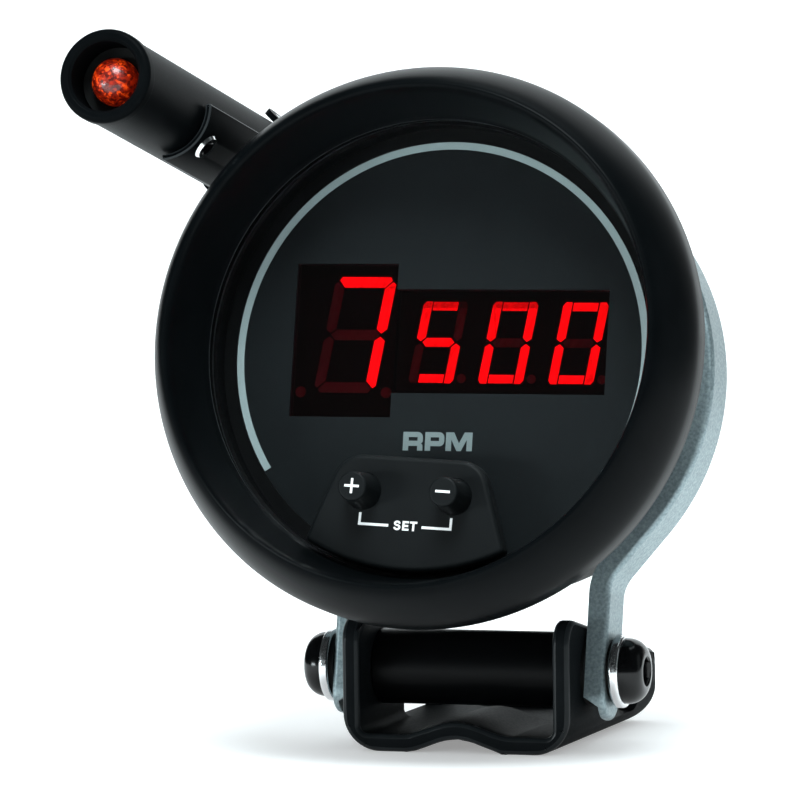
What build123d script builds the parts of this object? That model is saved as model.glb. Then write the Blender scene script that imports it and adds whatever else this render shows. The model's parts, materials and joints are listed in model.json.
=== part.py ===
# Electronic tachometer on a strap stand, with a side warning light.
# X is to the right, the front faces -Y, Z is up. The stand's underside is z = 0. Millimetres.
import os
from math import cos, pi, radians, sin

from build123d import *

os.makedirs("parts", exist_ok=True)

# Clearances
RUN = 0.06            # radial gap of a running fit
FREE = 0.3            # gap between curved faces that do not run on each other
SLIP = 0.1            # gap around flat-sided pieces

# Stand: a folded bracket with two ears
BASE_WIDTH = 40.6
BASE_DEPTH = 53.5
BASE_WALL = 3.0
BEND_OUTER = 6.5
BEND_INNER = 1.5
HUMP_HEIGHT = 2.35
HUMP_HALF = 9.5
EAR_TOP = 23.8        # height of the ears at their front corner
EAR_REAR = 12.7       # height of the ears at the back edge
EAR_FRONT_ROUND = 4.2
EAR_REAR_ROUND = 2.5
FOOT_REAR_ROUND = 6.0
SLOT_START = 25.0     # clamp slot, measured back from the front edge
SLOT_LENGTH = 18.2
SLOT_HEIGHT = 4.6

# Pivot that joins the stand and the head
PIVOT_BACK = 12.9     # behind the stand's front edge
PIVOT_UP = 13.4       # above the stand's underside
TILT = 13.0           # lean of the head at rest
DIAL_OVER_PIVOT = 49.8
DIAL_AHEAD_OF_PIVOT = 29.9
BOLT_R = 3.1
BOLT_HEAD_R = 5.65
BOLT_HEAD_H = 3.6
BOLT_LENGTH = 18.0
BOLT_SOCKET = 4.5
SPACER_R = 6.5
INNER_WASHER_T = 0.6
INNER_WASHER_R = 6.0
NYLON_WASHER_T = 0.7
NYLON_WASHER_R = 5.3
PLATED_WASHER_T = 1.65
PLATED_WASHER_R = 6.35

# Strap round the case
STRAP_R = 40.95
STRAP_T = 3.65
STRAP_WIDTH = 9.7
STRAP_MID = -29.7      # middle of the strap behind the dial's face
STRAP_LEAVES = 38.5   # angle below the horizontal where the legs leave the case
STRAP_SHEET = 1.2     # the strap is a channel folded from this sheet, open towards the case
STRAP_EDGE = 0.9      # outer rounds of the channel
LEG_BELOW_PIVOT = 8.5
LEG_END_ROUND = 3.9
FLANGE_TRIM = (1.7, 3.3)   # the flanges stop this far above the leg's end, at the web and at their rim
LEG_BEND_R = 6.0
LINER_T = 0.75

# Case, bezel and what they hold, as radii and as heights over the dial's face
CASE_R = 35.9
CASE_REAR = -44.0
CASE_WALL = 2.2
FLANGE_TOP = 9.0
BEZEL_R = 47.625
FLANGE_R = BEZEL_R - 3.425
FLANGE_BORE = FLANGE_R - 2.4
BEZEL_REAR = 4.62
BEZEL_BAND_TOP = 8.83
CREST_R = BEZEL_R - 5.035
CREST_Z = 20.77
CREST_PULL = 0.304     # how far the outer curve follows its tangents at both ends
FUNNEL_R = CREST_R - 3.49
HOLLOW_MID = 13.0      # heights of the hollow under the crest
HOLLOW_TOP = 16.6
HOLLOW_W = 0.5
LENS_TOP = 6.9
LENS_T = 2.0
DIAL_T = 1.2
STACK_R = FLANGE_BORE - 0.5        # lens, spacer ring and dial
ARC_R = FUNNEL_R - 3.82
ARC_W = 1.25

# Display window: the wide part on the left and the lower part on the right
WIN_LEFT, WIN_STEP, WIN_RIGHT = -26.6, -8.5, 29.1
WIN_TOP, WIN_TOP_LOW, WIN_BOTTOM_LOW, WIN_BOTTOM = 15.5, 11.2, -6.7, -10.9
SEGMENT_FACE = -1.3
SEGMENT_T = 0.2
MODULE_BACK = -8.0
DIGIT_SLANT = 0.15

# Circuit boards
BOARD_T = 1.6
DISPLAY_BOARD_R = 33.2
MAIN_BOARD_Z = -26.0
MAIN_BOARD_W = 46.0
MAIN_BOARD_H = 34.0
POST_RADIUS = 29.6
POST_R = 2.4

# Key block and its two buttons, turned a little about the gauge's axis
KEY_TURN = -2.7
KEY_FACE = 9.8
KEY_SHOULDER_X = 12.25
KEY_FOOT_X = 18.9
KEY_ARC_R = FUNNEL_R - 0.8
KEY_FOOT_Y = 0.7 - KEY_ARC_R
KEY_TOP_Y = 19.25 - KEY_ARC_R
BUTTON_X = 8.0
BUTTON_Y = 13.0 - KEY_ARC_R
BUTTON_FACE = 16.0
BUTTON_R = 2.45
BUTTON_ROOT_R = 3.1
BUTTON_FLANGE_R = 4.0
BUTTON_TRAVEL = 0.6
STEM_R = 1.2
SWITCH_TOP = -3.6

# Warning light beside the head
LIGHT_GAP = 12.636     # from the bezel's rim to the middle of the light
LIGHT_ANGLE = 139.982  # where the light sits round the gauge, from the right
LIGHT_FRONT = 47.0
LIGHT_REAR = -41.0
LIGHT_R = 7.7
COLLAR_R = 8.0         # the rounded mouth, a little wider than the tube
COLLAR_LENGTH = 3.2
LIGHT_BORE = 6.3
SOCKET_DEPTH = 6.4    # from the mouth to the face that the lamp sits on
LAMP_R = 3.98
MOUTH_BORE = 5.95      # inside the collar
SADDLE_FRONT = 19.3
SADDLE_T = 1.0
EAR_T = 1.1
CLINCH_R = 2.9        # nut pressed into the far ear, flush with it
LIGHT_BOLT_R = 1.9
HEAD_CONE_R = 3.0
FOOT_SCREW_R = 1.5

# Frames: the head's dial plane, its turned copy for the keys, and the light's own plane
right = Vector(1, 0, 0)
head_up = Vector(0, sin(radians(TILT)), cos(radians(TILT)))
head_front = Vector(0, -cos(radians(TILT)), sin(radians(TILT)))
pivot = Vector(0, PIVOT_BACK - BASE_DEPTH / 2, PIVOT_UP)
dial_centre = pivot + head_up * DIAL_OVER_PIVOT + head_front * DIAL_AHEAD_OF_PIVOT
HEAD = Plane(origin=dial_centre, x_dir=right, z_dir=head_front)
HEAD_SECTION = Plane(origin=dial_centre, x_dir=right, z_dir=-head_up)
HEAD_AXIS = Axis(dial_centre, head_front)
key_right = right * cos(radians(KEY_TURN)) + head_up * sin(radians(KEY_TURN))
key_up = head_up * cos(radians(KEY_TURN)) - right * sin(radians(KEY_TURN))
KEYS = Plane(origin=dial_centre, x_dir=key_right, z_dir=head_front)
SOCKET_FACE = LIGHT_FRONT - SOCKET_DEPTH
light_reach = BEZEL_R + LIGHT_GAP
light_out = right * cos(radians(LIGHT_ANGLE)) + head_up * sin(radians(LIGHT_ANGLE))
light_side = right * sin(radians(LIGHT_ANGLE)) - head_up * cos(radians(LIGHT_ANGLE))
light_centre = dial_centre + light_out * light_reach
LIGHT = Plane(origin=light_centre, x_dir=light_side, z_dir=head_front)
LIGHT_SECTION = Plane(origin=light_centre, x_dir=light_side, z_dir=-light_out)
LIGHT_AXIS = Axis(light_centre, head_front)
PIVOT_SECTION = Plane(origin=pivot, x_dir=(0, 0, 1), z_dir=(0, 1, 0))   # local x = radius, y = +X
PIVOT_AXIS = Axis(pivot, (1, 0, 0))
leg_outer = BASE_WIDTH / 2 + INNER_WASHER_T + STRAP_T
leg_bottom = -DIAL_OVER_PIVOT - LEG_BELOW_PIVOT


def face_of(plane, points, rounds=()):
    """A flat face through the points, with some corners rounded as (corner number, radius)."""
    with BuildSketch(plane) as outline:
        Polygon(*points, align=None)
        for corner, radius in rounds:
            fillet(outline.vertices().sort_by_distance(Vector(*points[corner]))[0], radius)
    return outline.sketch


def disc(plane, radius, bore=0.0, x=0.0, y=0.0):
    """A round face, or a ring when it has a bore."""
    with BuildSketch(plane) as outline:
        with Locations((x, y)):
            Circle(radius)
            if bore:
                Circle(bore, mode=Mode.SUBTRACT)
    return outline.sketch


# Stand bracket: folded section, ears cut to their side outline, clamp slots and pivot holes
half = BASE_WIDTH / 2
inner = half - BASE_WALL
hump = [(i / 8 * 2 - 1) for i in range(9)]
with BuildPart() as base_bracket:
    with BuildSketch(Plane.XZ.offset(-BASE_DEPTH / 2)):
        with BuildLine():
            Line((-half, EAR_TOP), (-half, BEND_OUTER))
            RadiusArc((-half, BEND_OUTER), (-half + BEND_OUTER, 0), -BEND_OUTER)
            Line((-half + BEND_OUTER, 0), (-HUMP_HALF, 0))
            Spline(*[(u * HUMP_HALF, HUMP_HEIGHT * (1 + cos(pi * u)) / 2) for u in hump],
                   tangents=((1, 0), (1, 0)))
            Line((HUMP_HALF, 0), (half - BEND_OUTER, 0))
            RadiusArc((half - BEND_OUTER, 0), (half, BEND_OUTER), -BEND_OUTER)
            Line((half, BEND_OUTER), (half, EAR_TOP))
            Line((half, EAR_TOP), (inner, EAR_TOP))
            Line((inner, EAR_TOP), (inner, BASE_WALL + BEND_INNER))
            RadiusArc((inner, BASE_WALL + BEND_INNER), (inner - BEND_INNER, BASE_WALL), BEND_INNER)
            Line((inner - BEND_INNER, BASE_WALL), (HUMP_HALF + 0.8, BASE_WALL))
            Spline(*[(-u * (HUMP_HALF + 0.8), BASE_WALL + HUMP_HEIGHT * (1 + cos(pi * u)) / 2)
                     for u in hump], tangents=((-1, 0), (-1, 0)))
            Line((-HUMP_HALF - 0.8, BASE_WALL), (-inner + BEND_INNER, BASE_WALL))
            RadiusArc((-inner + BEND_INNER, BASE_WALL), (-inner, BASE_WALL + BEND_INNER), BEND_INNER)
            Line((-inner, BASE_WALL + BEND_INNER), (-inner, EAR_TOP))
            Line((-inner, EAR_TOP), (-half, EAR_TOP))
        make_face()
    extrude(amount=BASE_DEPTH)
    extrude(face_of(Plane.YZ.offset(-half - 1),
                    [(-BASE_DEPTH / 2, -0.001), (-BASE_DEPTH / 2, EAR_TOP), (BASE_DEPTH / 2, EAR_REAR),
                     (BASE_DEPTH / 2, -0.001)],
                    [(1, EAR_FRONT_ROUND), (2, EAR_REAR_ROUND), (3, FOOT_REAR_ROUND)]),
            amount=BASE_WIDTH + 2, mode=Mode.INTERSECT)
    slot_mid = SLOT_START + SLOT_LENGTH / 2 - BASE_DEPTH / 2
    with BuildSketch(Plane.YZ.offset(-half - 1)):
        with Locations((slot_mid, BASE_WALL + SLOT_HEIGHT / 2)):
            Rectangle(SLOT_LENGTH, SLOT_HEIGHT)
    extrude(amount=BASE_WIDTH + 2, mode=Mode.SUBTRACT)
    with BuildSketch(Plane.YZ.offset(-half - 1)):
        with Locations((pivot.Y, pivot.Z)):
            Circle(BOLT_R + RUN)
    extrude(amount=BASE_WIDTH + 2, mode=Mode.SUBTRACT)
base_bracket.part.label = "base_bracket"
export_step(base_bracket.part, "parts/base_bracket.step")

# Spacer tube between the ears
with BuildPart() as spacer_tube:
    with BuildSketch(Plane.YZ.offset(-inner)):
        with Locations((pivot.Y, pivot.Z)):
            Circle(SPACER_R)
            Circle(BOLT_R + RUN, mode=Mode.SUBTRACT)
    extrude(amount=2 * inner)
    chamfer(spacer_tube.edges().filter_by(GeomType.CIRCLE).sort_by(Axis.X)[0:1]
            + spacer_tube.edges().filter_by(GeomType.CIRCLE).sort_by(Axis.X)[-1:], 0.4)
spacer_tube.part.label = "spacer_tube"
export_step(spacer_tube.part, "parts/spacer_tube.step")

# Washers and socket-head bolts on both sides of the pivot
for side, sign in (("left", -1), ("right", 1)):
    x_wall = half
    with BuildPart() as inner_washer:
        revolve(face_of(PIVOT_SECTION, [
            (BOLT_R + RUN, sign * x_wall), (INNER_WASHER_R, sign * x_wall),
            (INNER_WASHER_R, sign * (x_wall + INNER_WASHER_T)),
            (BOLT_R + RUN, sign * (x_wall + INNER_WASHER_T))]), axis=PIVOT_AXIS)
    inner_washer.part.label = f"inner_washer_{side}"
    export_step(inner_washer.part, f"parts/inner_washer_{side}.step")

    x_leg = leg_outer
    with BuildPart() as nylon_washer:
        revolve(face_of(PIVOT_SECTION, [
            (BOLT_R + RUN, sign * x_leg), (NYLON_WASHER_R, sign * x_leg),
            (NYLON_WASHER_R, sign * (x_leg + NYLON_WASHER_T)),
            (BOLT_R + RUN, sign * (x_leg + NYLON_WASHER_T))]), axis=PIVOT_AXIS)
    nylon_washer.part.label = f"nylon_washer_{side}"
    export_step(nylon_washer.part, f"parts/nylon_washer_{side}.step")

    x_nylon = x_leg + NYLON_WASHER_T
    x_head = x_nylon + PLATED_WASHER_T
    with BuildPart() as plated_washer:
        revolve(face_of(PIVOT_SECTION, [
            (BOLT_R + RUN, sign * x_nylon), (PLATED_WASHER_R, sign * x_nylon),
            (PLATED_WASHER_R, sign * x_head), (BOLT_R + RUN, sign * x_head)],
            [(1, 0.4), (2, 0.6)]), axis=PIVOT_AXIS)
    plated_washer.part.label = f"plated_washer_{side}"
    export_step(plated_washer.part, f"parts/plated_washer_{side}.step")

    with BuildPart() as pivot_bolt:
        with BuildSketch(PIVOT_SECTION):
            with BuildLine():
                Polyline((0, sign * (x_head - BOLT_LENGTH)), (BOLT_R - 0.5, sign * (x_head - BOLT_LENGTH)),
                         (BOLT_R, sign * (x_head - BOLT_LENGTH + 0.5)), (BOLT_R, sign * x_head),
                         (BOLT_HEAD_R, sign * x_head), (BOLT_HEAD_R, sign * (x_head + 0.5)))
                Spline((BOLT_HEAD_R, sign * (x_head + 0.5)), (BOLT_HEAD_R - 0.85, sign * (x_head + 1.9)),
                       (BOLT_SOCKET * 0.68, sign * (x_head + BOLT_HEAD_H)))
                Polyline((BOLT_SOCKET * 0.68, sign * (x_head + BOLT_HEAD_H)),
                         (0, sign * (x_head + BOLT_HEAD_H)), (0, sign * (x_head - BOLT_LENGTH)))
            make_face()
        revolve(axis=PIVOT_AXIS)
        with BuildSketch(Plane.YZ.offset(sign * (x_head + BOLT_HEAD_H))):
            with Locations((pivot.Y, pivot.Z)):
                RegularPolygon(BOLT_SOCKET / 2, 6, major_radius=False)
        extrude(amount=-sign * 2.2, mode=Mode.SUBTRACT)
    pivot_bolt.part.label = f"pivot_bolt_{side}"
    export_step(pivot_bolt.part, f"parts/pivot_bolt_{side}.step")

# Strap: wraps over the case and comes down to the pivot as two legs
leave = radians(STRAP_LEAVES)
strap_in = STRAP_R - STRAP_T


def strap_line(depth, foot):
    """The strap's right half at a depth under its outer face: off the case, then down the leg."""
    radius, leg_x = STRAP_R - depth, leg_outer - depth
    run = (radius * cos(leave) - leg_x) / sin(leave)
    return [(radius * cos(leave), -radius * sin(leave)),
            (leg_x, -radius * sin(leave) - run * cos(leave)), (leg_x, foot)]


def strap_band(start, end, foot, height):
    """The band between two depths under the strap's outer face, seen along the gauge's axis."""
    outer, inside = strap_line(start, foot), strap_line(end, foot)
    outer_left, inside_left = [[(-x, y) for x, y in line] for line in (outer, inside)]
    r_out, r_in = STRAP_R - start, STRAP_R - end
    with BuildSketch(HEAD.offset(height)) as band:
        with BuildLine():
            RadiusArc(outer_left[0], (0, r_out), r_out)
            RadiusArc((0, r_out), outer[0], r_out)
            Polyline(*outer, *reversed(inside))
            RadiusArc(inside[0], (0, r_in), -r_in)
            RadiusArc((0, r_in), inside_left[0], -r_in)
            Polyline(*inside_left, *reversed(outer_left))
        make_face()
        for line, bend_r in ((outer, LEG_BEND_R + start), (inside, LEG_BEND_R + end)):
            for sign in (1, -1):
                bend = Vector(sign * line[1][0], line[1][1])
                fillet(band.vertices().sort_by_distance(bend)[0], bend_r)
    return band.sketch


with BuildPart() as strap:
    extrude(strap_band(0, STRAP_T, leg_bottom, STRAP_MID - STRAP_WIDTH / 2), amount=STRAP_WIDTH)
    leg_ends = [e for e in strap.edges().filter_by(Axis.X)
                if abs((e.center() - dial_centre).dot(head_up) - leg_bottom) < 0.01]
    fillet(leg_ends, LEG_END_ROUND)
    rim_arcs = [e for e in strap.edges().filter_by(GeomType.CIRCLE) if abs(e.radius - STRAP_R) < 0.01]
    fillet(rim_arcs, STRAP_EDGE)
    extrude(strap_band(STRAP_SHEET, STRAP_T + 1, leg_bottom - 1, STRAP_MID - STRAP_WIDTH / 2 + STRAP_SHEET),
            amount=STRAP_WIDTH - 2 * STRAP_SHEET, mode=Mode.SUBTRACT)
    for sign in (1, -1):
        web, rim = sign * (leg_outer - STRAP_SHEET), sign * (leg_outer - STRAP_T - 1)
        extrude(face_of(HEAD.offset(STRAP_MID - STRAP_WIDTH), [
            (web, leg_bottom - 1), (web, leg_bottom + FLANGE_TRIM[0]),
            (sign * (leg_outer - STRAP_T), leg_bottom + FLANGE_TRIM[1]), (rim, leg_bottom + FLANGE_TRIM[1]),
            (rim, leg_bottom - 1)]), amount=2 * STRAP_WIDTH, mode=Mode.SUBTRACT)
    with BuildSketch(Plane.YZ.offset(-leg_outer - 1)):
        with Locations((pivot.Y, pivot.Z)):
            Circle(BOLT_R + RUN)
    extrude(amount=2 * leg_outer + 2, mode=Mode.SUBTRACT)
    foot_hole = dial_centre + light_out * (strap_in - 1) + head_front * STRAP_MID
    extrude(disc(Plane(origin=foot_hole, x_dir=light_side, z_dir=light_out), FOOT_SCREW_R + SLIP),
            amount=STRAP_T + 2, mode=Mode.SUBTRACT)
strap.part.label = "strap"
export_step(strap.part, "parts/strap.step")

# Rubber liner between the strap and the case
with BuildPart() as strap_liner:
    with BuildSketch(HEAD.offset(STRAP_MID - STRAP_WIDTH / 2 + 0.4)):
        liner_out = strap_in - FREE
        liner_in = liner_out - LINER_T
        a0 = radians(32)
        with BuildLine():
            RadiusArc((-liner_out * cos(a0), -liner_out * sin(a0)), (0, liner_out), liner_out)
            RadiusArc((0, liner_out), (liner_out * cos(a0), -liner_out * sin(a0)), liner_out)
            Line((liner_out * cos(a0), -liner_out * sin(a0)), (liner_in * cos(a0), -liner_in * sin(a0)))
            RadiusArc((liner_in * cos(a0), -liner_in * sin(a0)), (0, liner_in), -liner_in)
            RadiusArc((0, liner_in), (-liner_in * cos(a0), -liner_in * sin(a0)), -liner_in)
            Line((-liner_in * cos(a0), -liner_in * sin(a0)), (-liner_out * cos(a0), -liner_out * sin(a0)))
        make_face()
    extrude(amount=STRAP_WIDTH - 0.8)
strap_liner.part.label = "strap_liner"
export_step(strap_liner.part, "parts/strap_liner.step")

# Case: a cup with a flared flange, and posts inside that carry the boards
board_back = MODULE_BACK - BOARD_T
main_back = MAIN_BOARD_Z - BOARD_T
with BuildPart() as case_cup:
    revolve(face_of(HEAD_SECTION, [
        (0, CASE_REAR), (CASE_R, CASE_REAR), (CASE_R, -14.0), (FLANGE_R, -2.5), (FLANGE_R, FLANGE_TOP),
        (FLANGE_BORE, FLANGE_TOP), (FLANGE_BORE, -DIAL_T), (STACK_R - 2.9, -DIAL_T), (STACK_R - 2.9, -4.0),
        (CASE_R - CASE_WALL, -12.0), (CASE_R - CASE_WALL, CASE_REAR + CASE_WALL),
        (0, CASE_REAR + CASE_WALL)],
        [(1, 2.5), (2, 6.0), (3, 3.0), (10, 1.0)]), axis=HEAD_AXIS)
    with BuildSketch(HEAD.offset(CASE_REAR + CASE_WALL - 0.5)):
        with PolarLocations(POST_RADIUS, 4, start_angle=45):
            Circle(POST_R)
    extrude(amount=board_back - (CASE_REAR + CASE_WALL - 0.5))
    with BuildSketch(HEAD.offset(CASE_REAR + CASE_WALL - 0.5)):
        with GridLocations(MAIN_BOARD_W - 7, MAIN_BOARD_H - 7, 2, 2):
            Circle(POST_R)
    extrude(amount=main_back - (CASE_REAR + CASE_WALL - 0.5))
    with BuildSketch(HEAD.offset(board_back)):
        with PolarLocations(POST_RADIUS, 4, start_angle=45):
            Circle(0.9)
    extrude(amount=-7, mode=Mode.SUBTRACT)
    with BuildSketch(HEAD.offset(main_back)):
        with GridLocations(MAIN_BOARD_W - 7, MAIN_BOARD_H - 7, 2, 2):
            Circle(0.9)
    extrude(amount=-7, mode=Mode.SUBTRACT)
    extrude(disc(HEAD.offset(CASE_REAR - 1), 5.0, x=0, y=-14), amount=CASE_WALL + 3, mode=Mode.SUBTRACT)
case_cup.part.label = "case_cup"
export_step(case_cup.part, "parts/case_cup.step")

# Rear grommet where the loom leaves the case
with BuildPart() as rear_grommet:
    grommet_centre = dial_centre - head_up * 14
    grommet_plane = Plane(origin=grommet_centre, x_dir=right, z_dir=-head_up)
    revolve(face_of(grommet_plane, [
        (2.2, CASE_REAR - 4.0), (4.4, CASE_REAR - 4.0), (7.2, CASE_REAR - 1.6), (7.2, CASE_REAR),
        (4.7, CASE_REAR), (4.7, CASE_REAR + CASE_WALL), (6.2, CASE_REAR + CASE_WALL),
        (5.2, CASE_REAR + CASE_WALL + 1.5), (2.2, CASE_REAR + CASE_WALL + 1.5)]),
        axis=Axis(grommet_centre, head_front))
rear_grommet.part.label = "rear_grommet"
export_step(rear_grommet.part, "parts/rear_grommet.step")

# Bezel: hollow ring with a crest, a sloping inner wall and ribs behind
crest_w, crest_h = BEZEL_R - CREST_R, CREST_Z - BEZEL_BAND_TOP
hollow_out, hollow_in = FLANGE_R + SLIP, CREST_R + 0.21
with BuildPart() as bezel:
    with BuildSketch(HEAD_SECTION):
        with BuildLine():
            Polyline((FUNNEL_R + 1.9, LENS_TOP), (FUNNEL_R, LENS_TOP), (FUNNEL_R, LENS_TOP + 0.5),
                     (FUNNEL_R + 0.25, LENS_TOP + 0.9), (CREST_R - 1.0, CREST_Z - 1.1))
            Spline((CREST_R - 1.0, CREST_Z - 1.1), (CREST_R - 0.65, CREST_Z - 0.28), (CREST_R, CREST_Z))
            Bezier((CREST_R, CREST_Z), (CREST_R + CREST_PULL * crest_w, CREST_Z),
                   (BEZEL_R, BEZEL_BAND_TOP + CREST_PULL * crest_h), (BEZEL_R, BEZEL_BAND_TOP))
            Polyline((BEZEL_R, BEZEL_BAND_TOP), (BEZEL_R, BEZEL_REAR + 0.5), (BEZEL_R - 0.5, BEZEL_REAR),
                     (FLANGE_R + FREE, BEZEL_REAR), (FLANGE_R + FREE, FLANGE_TOP),
                     (hollow_out, HOLLOW_MID), (hollow_in + HOLLOW_W, HOLLOW_TOP), (hollow_in, HOLLOW_TOP),
                     (FUNNEL_R + 2.15, FLANGE_TOP), (FUNNEL_R + 1.9, LENS_TOP))
        make_face()
    revolve(axis=HEAD_AXIS)
    for i in range(12):
        spoke = right * cos(pi * i / 6) + head_up * sin(pi * i / 6)
        rib_plane = Plane(origin=dial_centre - head_front.cross(spoke) * 0.6, x_dir=spoke,
                          z_dir=head_front.cross(spoke))
        flip = 1 if rib_plane.y_dir.dot(head_front) > 0 else -1
        extrude(face_of(rib_plane, [
            (FUNNEL_R + 2.0, flip * FLANGE_TOP), (hollow_out + 0.8, flip * FLANGE_TOP),
            (hollow_out + 0.2, flip * HOLLOW_MID), (hollow_in + HOLLOW_W + 0.1, flip * (HOLLOW_TOP + 0.2)),
            (hollow_in - 0.1, flip * (HOLLOW_TOP + 0.2))]),
                amount=1.2)
bezel.part.label = "bezel"
export_step(bezel.part, "parts/bezel.step")

# Lens, with holes for the two button stems
with BuildPart() as lens:
    extrude(disc(HEAD.offset(LENS_TOP - LENS_T), STACK_R), amount=LENS_T)
    with BuildSketch(KEYS.offset(LENS_TOP - LENS_T - 1)):
        with Locations((-BUTTON_X, BUTTON_Y), (BUTTON_X, BUTTON_Y)):
            Circle(STEM_R + FREE)
    extrude(amount=LENS_T + 2, mode=Mode.SUBTRACT)
lens.part.label = "lens"
export_step(lens.part, "parts/lens.step")

# Spacer ring between the dial and the lens
with BuildPart() as spacer_ring:
    revolve(face_of(HEAD_SECTION, [
        (STACK_R - 2.4, 0), (STACK_R, 0), (STACK_R, LENS_TOP - LENS_T), (STACK_R - 1.9, LENS_TOP - LENS_T),
        (STACK_R - 1.9, LENS_TOP - LENS_T - 0.8), (STACK_R - 2.4, LENS_TOP - LENS_T - 1.1)]), axis=HEAD_AXIS)
spacer_ring.part.label = "spacer_ring"
export_step(spacer_ring.part, "parts/spacer_ring.step")

# Dial with the stepped window and two stem holes
window = [(WIN_LEFT, WIN_BOTTOM), (WIN_STEP, WIN_BOTTOM), (WIN_STEP, WIN_BOTTOM_LOW),
          (WIN_RIGHT, WIN_BOTTOM_LOW), (WIN_RIGHT, WIN_TOP_LOW), (WIN_STEP, WIN_TOP_LOW),
          (WIN_STEP, WIN_TOP), (WIN_LEFT, WIN_TOP)]
with BuildPart() as dial:
    extrude(disc(HEAD.offset(-DIAL_T), STACK_R), amount=DIAL_T)
    extrude(face_of(HEAD.offset(-DIAL_T - 1), window), amount=DIAL_T + 2, mode=Mode.SUBTRACT)
    with BuildSketch(KEYS.offset(-DIAL_T - 1)):
        with Locations((-BUTTON_X, BUTTON_Y), (BUTTON_X, BUTTON_Y)):
            Circle(STEM_R + FREE)
    extrude(amount=DIAL_T + 2, mode=Mode.SUBTRACT)
dial.part.label = "dial"
export_step(dial.part, "parts/dial.step")

# Silver arc applied to the dial, from lower left over the top to lower right
with BuildPart() as dial_arc:
    with BuildSketch(HEAD):
        a_end = radians(34)
        outer_r = ARC_R + ARC_W
        with BuildLine():
            RadiusArc((-outer_r * cos(a_end), -outer_r * sin(a_end)), (0, outer_r), outer_r)
            RadiusArc((0, outer_r), (outer_r * cos(a_end), -outer_r * sin(a_end)), outer_r)
            Line((outer_r * cos(a_end), -outer_r * sin(a_end)), (ARC_R * cos(a_end), -ARC_R * sin(a_end)))
            RadiusArc((ARC_R * cos(a_end), -ARC_R * sin(a_end)), (0, ARC_R), -ARC_R)
            RadiusArc((0, ARC_R), (-ARC_R * cos(a_end), -ARC_R * sin(a_end)), -ARC_R)
            Line((-ARC_R * cos(a_end), -ARC_R * sin(a_end)), (-outer_r * cos(a_end), -outer_r * sin(a_end)))
        make_face()
    extrude(amount=0.15)
dial_arc.part.label = "dial_arc"
export_step(dial_arc.part, "parts/dial_arc.step")

# Smoked filter in the window
with BuildPart() as display_filter:
    with BuildSketch(HEAD.offset(SEGMENT_FACE)):
        Polygon(*window, align=None)
        offset(amount=-SLIP, kind=Kind.INTERSECTION)
    extrude(amount=-0.15 - SEGMENT_FACE)
display_filter.part.label = "display_filter"
export_step(display_filter.part, "parts/display_filter.step")

# Two digit modules behind the filter: one tall digit, and three smaller ones
module_face = SEGMENT_FACE - SEGMENT_T
with BuildPart() as tall_digit_module:
    extrude(face_of(HEAD.offset(MODULE_BACK), [(-26.4, -10.7), (-8.8, -10.7), (-8.8, 15.4), (-26.4, 15.4)]),
            amount=module_face - MODULE_BACK)
tall_digit_module.part.label = "tall_digit_module"
export_step(tall_digit_module.part, "parts/tall_digit_module.step")

with BuildPart() as three_digit_module:
    extrude(face_of(HEAD.offset(MODULE_BACK), [(-8.2, -6.3), (29.0, -6.3), (29.0, 11.0), (-8.2, 11.0)]),
            amount=module_face - MODULE_BACK)
three_digit_module.part.label = "three_digit_module"
export_step(three_digit_module.part, "parts/three_digit_module.step")


def tall_segments(w, h, t):
    """Seven outlines of the tall digit about its own centre, pointed at both ends."""
    upper_right = [(w, h - 1.25), (w - 0.5, h - 0.85), (w - t, h - t - 0.25), (w - t, 1.0), (w - t / 2, 0.3),
                   (w, 1.0)]
    top = [(-w + 1.1, h), (w - 1.1, h), (w - 0.75, h - 0.6), (w - 1.85, h - t), (-w + 1.85, h - t),
           (-w + 0.75, h - 0.6)]
    bar = [(-w + 1.1, 0), (-w + 2.0, t / 2), (w - 2.0, t / 2), (w - 1.1, 0), (w - 2.0, -t / 2),
           (-w + 2.0, -t / 2)]
    return upper_right, top, bar


def small_segments(w, h, t):
    """Seven outlines of a small digit about its own centre, square at the corners."""
    upper_right = [(w, h - 0.6), (w - 0.45, h), (w - t, h), (w - t, 0.85), (w - t / 2, 0.2), (w, 0.7)]
    top = [(-w + t + 0.3, h - 0.08), (w - t - 0.3, h - 0.08), (w - t - 0.3, h - t), (-w + t + 0.3, h - t)]
    bar = [(-w + 1.15, 0), (-w + 1.85, t / 2), (w - 1.85, t / 2), (w - 1.15, 0), (w - 1.85, -t / 2),
           (-w + 1.85, -t / 2)]
    return upper_right, top, bar


def digit(shapes, cx, cy, wanted):
    """The wanted segments, named a to g, slanted and moved to the digit's centre."""
    upper_right, top, bar = shapes
    table = {"a": [(x, y) for x, y in top], "d": [(x, -y) for x, y in top], "g": bar,
             "b": upper_right, "c": [(x, -y) for x, y in upper_right],
             "f": [(-x, y) for x, y in upper_right], "e": [(-x, -y) for x, y in upper_right]}
    return [[(cx + x + DIGIT_SLANT * y, cy + y) for x, y in table[name]] for name in wanted]


TALL_X, TALL_Y, SMALL_Y = -16.0, 3.45, 2.28
tall = tall_segments(5.45, 9.98, 1.8)
small = small_segments(3.95, 7.0, 1.5)
small_centres = (-1.08, 11.3, 23.68)
small_dot, small_drop = 4.45, SMALL_Y + 3.9
lit = (digit(tall, TALL_X, TALL_Y, "abc") + digit(small, small_centres[0], SMALL_Y, "afgcd")
       + digit(small, small_centres[1], SMALL_Y, "abcdef") + digit(small, small_centres[2], SMALL_Y, "abcdef"))
unlit = (digit(tall, TALL_X, TALL_Y, "defg") + digit(small, small_centres[0], SMALL_Y, "be")
         + digit(small, small_centres[1], SMALL_Y, "g") + digit(small, small_centres[2], SMALL_Y, "g"))

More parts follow.
